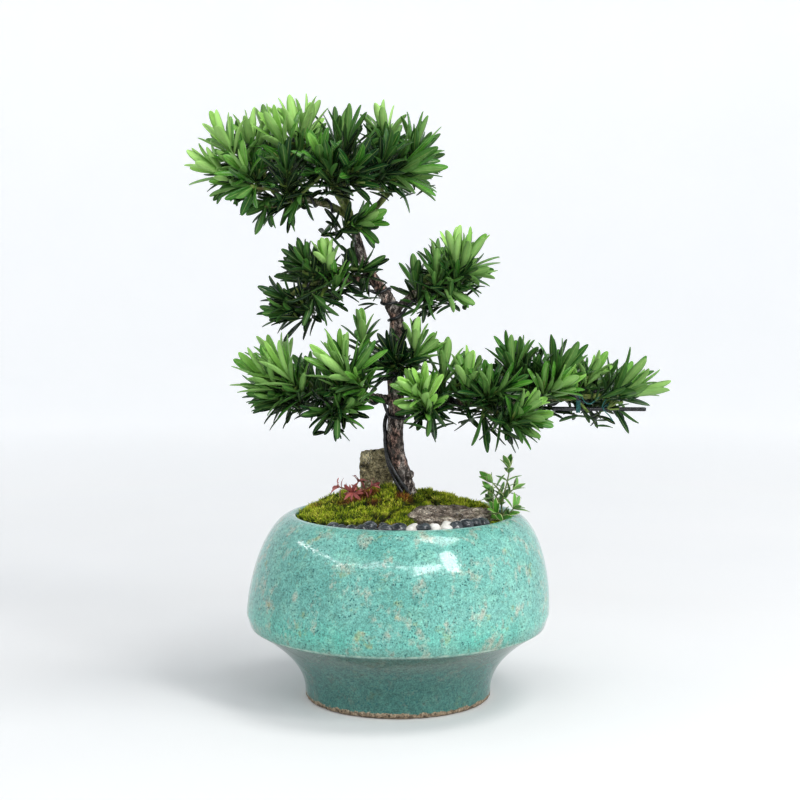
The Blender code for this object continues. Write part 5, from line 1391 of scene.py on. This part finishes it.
def blade_arrays(leaves, outline=blade_outline, fold=0.27, rib=0.85 * MM, stalk=0.55 * MM):
    """Points, faces and colour values of many blades at once.

    A leaf is (root, axis, outward, spread, bend, length, width, twist, tint): it starts at the angle
    spread from the axis towards outward, bends on by bend to its tip and turns by twist.
    """
    root, axis, outward, spread, bend, length, width, twist, tint = (
        np.array(column, dtype=float) for column in zip(*leaves)
    )
    share = BLADE_STATIONS
    angle = (spread[:, None] + bend[:, None] * share)[..., None]
    along = axis[:, None] * np.cos(angle) + outward[:, None] * np.sin(angle)
    inward = axis[:, None] * np.sin(angle) - outward[:, None] * np.cos(angle)
    side = np.cross(along, inward)
    turn = (twist[:, None] * share)[..., None]
    normal = inward * np.cos(turn) + side * np.sin(turn)
    side = side * np.cos(turn) - inward * np.sin(turn)
    middles = (along[:, 1:] + along[:, :-1]) / 2 * np.diff(share)[:, None]
    centre = np.concatenate([np.zeros((len(root), 1, 3)), np.cumsum(middles, axis=1)], axis=1)
    centre = root[:, None] + centre * length[:, None, None]
    half = np.maximum(width[:, None] / 2 * outline(share), stalk * (1 - share))
    thick = rib * (0.35 + 0.65 * np.sin(np.pi * np.minimum(share + 0.12, 1)))
    rings = len(share) - 1
    across = (half[:, :rings, None] * RING_ACROSS)[..., None]
    lift = (fold * half[:, :rings, None] * RING_LIFT - thick[None, :rings, None] * RING_UNDER)[..., None]
    ring_points = centre[:, :rings, None] + side[:, :rings, None] * across + normal[:, :rings, None] * lift
    points = np.concatenate([ring_points.reshape(len(root), -1, 3), centre[:, -1:]], axis=1)
    ring = len(RING_ACROSS)
    tip = rings * ring
    faces = []
    for here in range(tip):
        beside = here - here % ring + (here + 1) % ring
        faces.append((here, here + ring, beside + ring, beside) if here < tip - ring else (here, tip, beside))
    faces.append(tuple(range(ring)))
    colours = np.zeros((len(root), tip + 1, 4))
    colours[:, :, 0] = tint[:, None]
    colours[:, :tip, 1] = np.tile(RING_SIDE, rings)
    colours[:, tip, 1] = 0.5
    colours[:, :tip, 2] = np.tile(np.abs(RING_ACROSS), rings)
    colours[:, :tip, 3] = np.repeat(share[:rings], ring)
    colours[:, tip, 3] = 1
    return points, faces, colours


def kept_inside(points, root):
    """The blades, each shortened towards its root until it is inside the object's box."""
    low = np.array(CAD_BOX[0] - AXIS) + 0.2 * MM
    high = np.array(CAD_BOX[1] - AXIS) - 0.2 * MM
    origin = np.array(root)[:, None]
    away = points - origin
    room = np.where(away > 0, high - origin, low - origin)
    with np.errstate(divide="ignore", invalid="ignore"):
        factor = np.where(np.abs(away) > 1e-9, room / away, np.inf)
    scale = np.clip(factor.min(axis=(1, 2)), 0.05, 1.0)
    return origin + away * scale[:, None, None]


def blade_mesh(name, leaves, **shape):
    points, template, colours = blade_arrays(leaves, **shape)
    points = kept_inside(points, [leaf[0] for leaf in leaves])
    starts = range(0, points.shape[0] * points.shape[1], points.shape[1])
    faces = [tuple(index + start for index in face) for start in starts for face in template]
    mesh = new_mesh(name, points.reshape(-1, 3), faces)
    paint(mesh, "blade", colours)
    return mesh


def leaf_round(root, axis, turn, spread, length, tone, generator, size):
    """One leaf that leaves the axis at this turn and spread. Its tone sets its colour and its width."""
    outward = around(axis, turn)
    width = LEAF_WIDTH * (0.68 + 0.32 * min(tone * 1.4, 1)) * generator.uniform(0.84, 1.0) * size
    bend = math.radians(generator.uniform(-4, 14) + 12 * spread)
    twist = math.radians(generator.uniform(-20, 20))
    tint = clamped(tone + generator.uniform(-0.15, 0.15))
    return root, axis, outward, spread, bend, length * size, width, twist, tint


def shoot_leaves(base, tip, lightness, count, generator, size=1.0):
    """The leaves of one shoot: a fan of young ones at its top and older, darker ones down its foot."""
    axis = (tip - base).normalized()
    end = base + axis * LEAF_START
    reach = clamped((tip - end).length, *LEAF_LENGTHS)
    phase = generator.uniform(0, 2 * math.pi)
    widest = LIGHT_FAN if lightness > LIGHT_SPRAY else FAN
    leaves = []
    for index in range(count):
        level = index / (count - 1)
        root = end - axis * 6 * MM * level
        spread = math.radians(4 + widest * level**0.8 + generator.uniform(-5, 5))
        length = reach * generator.uniform(0.88, 1.0)
        tone = lightness * (1.08 - 0.30 * level)
        turn = phase + index * GOLDEN_ANGLE + generator.uniform(-0.2, 0.2)
        leaves.append(leaf_round(root, axis, turn, spread, length, tone, generator, size))
    if hangs(base, tip):
        return leaves
    for index in range(OLD_LEAVES):
        level = index / (OLD_LEAVES - 1)
        root = end - axis * (8 + 9 * level) * MM
        spread = math.radians(48 + 22 * level + generator.uniform(-8, 8))
        turn = phase + (count + index) * GOLDEN_ANGLE + generator.uniform(-0.3, 0.3)
        tone = 0.45 * lightness * generator.uniform(0.2, 1.0)
        leaf = leaf_round(root, axis, turn, spread, OLD_LEAF_SIZE * reach, tone, generator, size)
        if tilted(axis, leaf[2], spread).z > -0.35 or generator.random() < 0.35:
            leaves.append(leaf)
    return leaves


def hangs(base, tip):
    """Whether the shoot points down. Such shoots are thin, with few leaves."""
    return tip.z < base.z - 9 * MM


def companions(base, tip, count, generator):
    """Shorter shoots round a main one, which lie back from its tip and fill the foliage behind it."""
    axis = (tip - base).normalized()
    phase = generator.uniform(0, 2 * math.pi)
    found = []
    for index in range(count):
        away = around(axis, phase + index * 2 * math.pi / count + generator.uniform(-0.5, 0.5))
        direction = tilted(axis, away, math.radians(generator.uniform(*COMPANION_LEAN)))
        direction.z = max(direction.z, -0.05)
        start = base - axis * generator.uniform(8, 16) * MM + away * generator.uniform(2, 7) * MM
        found.append((start, start + direction.normalized() * generator.uniform(*COMPANION_REACH) * MM))
    return found


def spray_twigs(limb, share, shoots):
    """The spray's twigs: for each shoot, the points from the wood or from the first twig to its end."""
    twigs = []
    for number, (base, tip, _) in enumerate(shoots):
        end = base + (tip - base).normalized() * LEAF_START
        if number == 0:
            at, tangent, radius = limb_at(limb, share)
            towards = base - at
            radial = (towards - tangent * towards.dot(tangent)).normalized() if share < 1 else tangent
            lead = at + radial * (radius + min(towards.length * 0.3, 9 * MM))
            twigs.append([at, lead, base, end])
        else:
            stem = twigs[0]
            fork = stem[0].lerp(stem[1], 0.7) if number % 2 else stem[1].lerp(stem[2], 0.35)
            twigs.append([fork, base, end])
    return twigs


def make_sprays(bark):
    """One piece of leaves for each spray, and all twigs as one piece."""
    generator = random.Random(SEED)
    finish = leaf_finish()
    twig_shapes = []
    for name, (limb, share, rows) in SPRAYS.items():
        shoots = [(*metres((row[:3], row[3:6])), row[6]) for row in rows]
        leaves = []
        for twig, (base, tip, lightness) in zip(spray_twigs(limb, share, shoots), shoots):
            thin = hangs(base, tip)
            twig_shapes.append(tapered_sweep(smooth_path(twig, 3 * MM), 8, TWIG_RADIUS, 0.7 * TWIG_RADIUS))
            count = HANGING_LEAVES if thin else SHOOT_LEAVES
            leaves += shoot_leaves(base, tip, lightness, count, generator)
            extra = 0 if thin or limb == "trunk" and share < 0.9 else COMPANIONS
            for start, top in companions(base, tip, extra, generator):
                # Painted shade: companions, which fill the foliage behind the main shoot, get darker leaves.
                tone = max(lightness - generator.uniform(0.15, 0.5), 0.03)
                leaves += shoot_leaves(start, top, tone, COMPANION_LEAVES, generator, COMPANION_SIZE)
                path = smooth_path([twig[-3].lerp(twig[-2], 0.35), start, start.lerp(top, 0.3)], 3 * MM)
                twig_shapes.append(tapered_sweep(path, 6, 0.8 * TWIG_RADIUS, 0.6 * TWIG_RADIUS))
        leaves = [leaf for leaf in leaves if clear_of_wood(leaf, bark) and clear_of_rod(leaf)]
        tone = sum(shoot[2] for shoot in shoots) / len(shoots)
        add_piece("foliage_" + name, blade_mesh(name, leaves), finish, "spray_" + name)
    colours = (0.35, (0.075, 0.12, 0.022)), (0.55, (0.17, 0.26, 0.05)), (0.7, (0.14, 0.10, 0.04))
    finish = plain_finish("twigs", 0.5, (90, 3), colours, (500, 3), 0.2 * MM)
    add_piece("twigs", joined(twig_shapes), finish)


def clear_of_wood(leaf, bark):
    """Whether the outer part of the leaf misses the wood."""
    root, axis, outward, spread, _, length, *_ = leaf
    direction = tilted(axis, outward, spread)
    return bark.ray_cast(root + direction * length * 0.2, direction, length * 0.8)[0] is None


def clear_of_rod(leaf):
    """Whether the leaf leaves the front of the tied rod open."""
    root, axis, outward, spread, bend, length, *_ = leaf
    first, last, _ = BRACE_ROD
    for step in range(6):
        share = step / 5
        place = (root + tilted(axis, outward, spread + 0.5 * bend * share) * length * share) / MM
        beside = first[0] - 2 < place.x < last[0] + 2 and place.y < first[1]
        if beside and -4 < place.z - first[2] < 6:
            return False
    return True


# Small plants


def make_small_plant(name, plant, finish, stem_finish, generator):
    """Stems with pairs of leaves up each, spread or hanging."""
    length, width = (part * MM for part in plant["leaf"])
    leaves = []
    stems = []
    for route in [plant["stem"]] + plant["branches"]:
        path = smooth_path(metres(route), 1.5 * MM)
        stems.append(tapered_sweep(path, 8, 0.75 * MM, 0.45 * MM))
        start = 1 if route is not plant["stem"] else len(path) * 4 // 9
        turn = generator.uniform(0, math.pi)
        ahead = (path[-1] - path[-2]).normalized()
        spots = path[start::PLANT_STEP] + [path[-1]] * 2
        for number, point in enumerate(spots):
            turn += GOLDEN_ANGLE
            for outward in (around(ahead, turn), around(ahead, turn + math.pi)):
                spread = 22 if number >= len(spots) - 2 else plant["spread"]
                lean = math.radians(spread + generator.uniform(-9, 9))
                size = generator.uniform(0.75, 1.05)
                bend = math.radians(plant["bend"] + generator.uniform(-10, 10))
                twist = math.radians(generator.uniform(-20, 20))
                tint = generator.uniform(0.1, 1.0)
                leaves.append((point, ahead, outward, lean, bend, length * size, width * size, twist, tint))
    mesh = blade_mesh(name, leaves, outline=oval_outline, fold=0.10, rib=0.35 * MM, stalk=0.25 * MM)
    add_piece(name + "_leaves", mesh, finish, name)
    add_piece(name + "_stems", joined(stems), stem_finish)


def make_plants():
    generator = random.Random(SEED + 1)
    stem = small_stem_finish("red_stem", (0.20, 0.04, 0.03), (0.32, 0.12, 0.07))
    leaf = small_leaf_finish("red_leaf", (0.18, 0.022, 0.024), (0.56, 0.17, 0.15))
    make_small_plant("red_plant", RED_PLANT, leaf, stem, generator)
    stem = small_stem_finish("green_stem", (0.12, 0.16, 0.05), (0.26, 0.30, 0.12))
    leaf = small_leaf_finish("cream_edged_leaf", (0.025, 0.14, 0.015), (0.13, 0.38, 0.04), (0.66, 0.76, 0.36))
    make_small_plant("variegated_plant", VARIEGATED_PLANT, leaf, stem, generator)


# Stage, light and camera


def stage_finish():
    """Pale grey that glows softly with its distance from the object, less so to the front left."""
    made = Finish("pale_floor", 0.9, Emission_Strength=1.0)
    away = made.node("VectorMath", {0: made.place}, operation="LENGTH").outputs["Value"]
    glow = made.ramp(made.times(away, 0.25), (0.10, (0.05, 0.05, 0.05)), (0.55, WALL_GLOW))
    sideways = made.plus(made.times(made.part("X"), 0.07), made.times(made.part("Y"), 0.1))
    dimming = made.ramp(made.plus(sideways, 0.5), (0.20, 0.30), (0.50, 1.0))
    made.set("Emission Color", made.shaded(glow, dimming))
    return made.finished(made.cloud((3, 2), (0.3, (0.79, 0.80, 0.81)), (0.7, (0.81, 0.815, 0.82))))


def make_stage():
    """A pale floor that curves up into a softly glowing wall all round."""
    profile = [(STAGE_MIDDLE + STAGE_STEP * ring, STAGE_LEVEL) for ring in range(STAGE_RINGS)]
    for degrees in range(6, 91, 6):
        turn = math.radians(degrees)
        profile.append((STAGE_REACH + STAGE_BEND * math.sin(turn), STAGE_BEND * (1 - math.cos(turn))))
    profile.append((STAGE_REACH + STAGE_BEND, STAGE_HEIGHT))
    points, faces = turned(profile, STAGE_SIDES, closed=False)
    middle = tuple(side * len(profile) for side in range(STAGE_SIDES))
    mesh = new_mesh("stage", points, [middle] + faces)
    mesh.materials.append(stage_finish())
    mesh.shade_smooth()
    add_object("stage", mesh)


def make_lights():
    """Soft rectangles of light that face the middle of the object, and a soft sky."""
    for name, (direction, size, power, colour) in LIGHTS.items():
        light = bpy.data.lights.new(name, "AREA")
        light.shape = "RECTANGLE"
        light.size, light.size_y = size
        light.energy = power
        light.color = colour
        obj = add_object(name, light)
        towards = Vector(direction).normalized()
        obj.location = LIGHT_TARGET + towards * LIGHT_DISTANCE
        obj.rotation_euler = (-towards).to_track_quat("-Z", "Y").to_euler()
        obj.visible_camera = False
    world = bpy.data.worlds.new("pale_world")
    world.use_nodes = True
    background = world.node_tree.nodes["Background"]
    background.inputs["Color"].default_value = SKY_COLOUR
    background.inputs["Strength"].default_value = SKY_STRENGTH
    bpy.context.scene.world = world
    view = bpy.context.scene.view_settings
    view.view_transform = "Standard"
    view.gamma = VIEW_GAMMA


def make_camera():
    camera = bpy.data.cameras.new("camera")
    camera.lens = LENS
    camera.sensor_width = 36
    camera.clip_end = 50
    obj = add_object("camera", camera)
    obj.location = AXIS + CAMERA_PLACE
    obj.rotation_euler = (math.radians(90 - CAMERA_TILT), 0, 0)
    bpy.context.scene.camera = obj


def main():
    generator = random.Random(SEED + 2)
    make_camera()
    make_pot()
    make_drain()
    colours = (0.3, (0.018, 0.012, 0.009)), (0.55, (0.065, 0.042, 0.028)), (0.72, (0.16, 0.11, 0.07))
    soil = plain_finish("soil", 0.95, (420, 5, 0.75), colours, (700, 4, 0.7), 0.8 * MM)
    make_soil(soil)
    make_grains(soil, generator)
    make_moss(generator)
    make_stones()
    make_pebbles()
    bark = make_wood()
    wire = wire_finish()
    make_wires(bark, wire)
    make_brace(wire)
    make_sprays(bark)
    make_plants()
    make_stage()
    make_lights()


main()
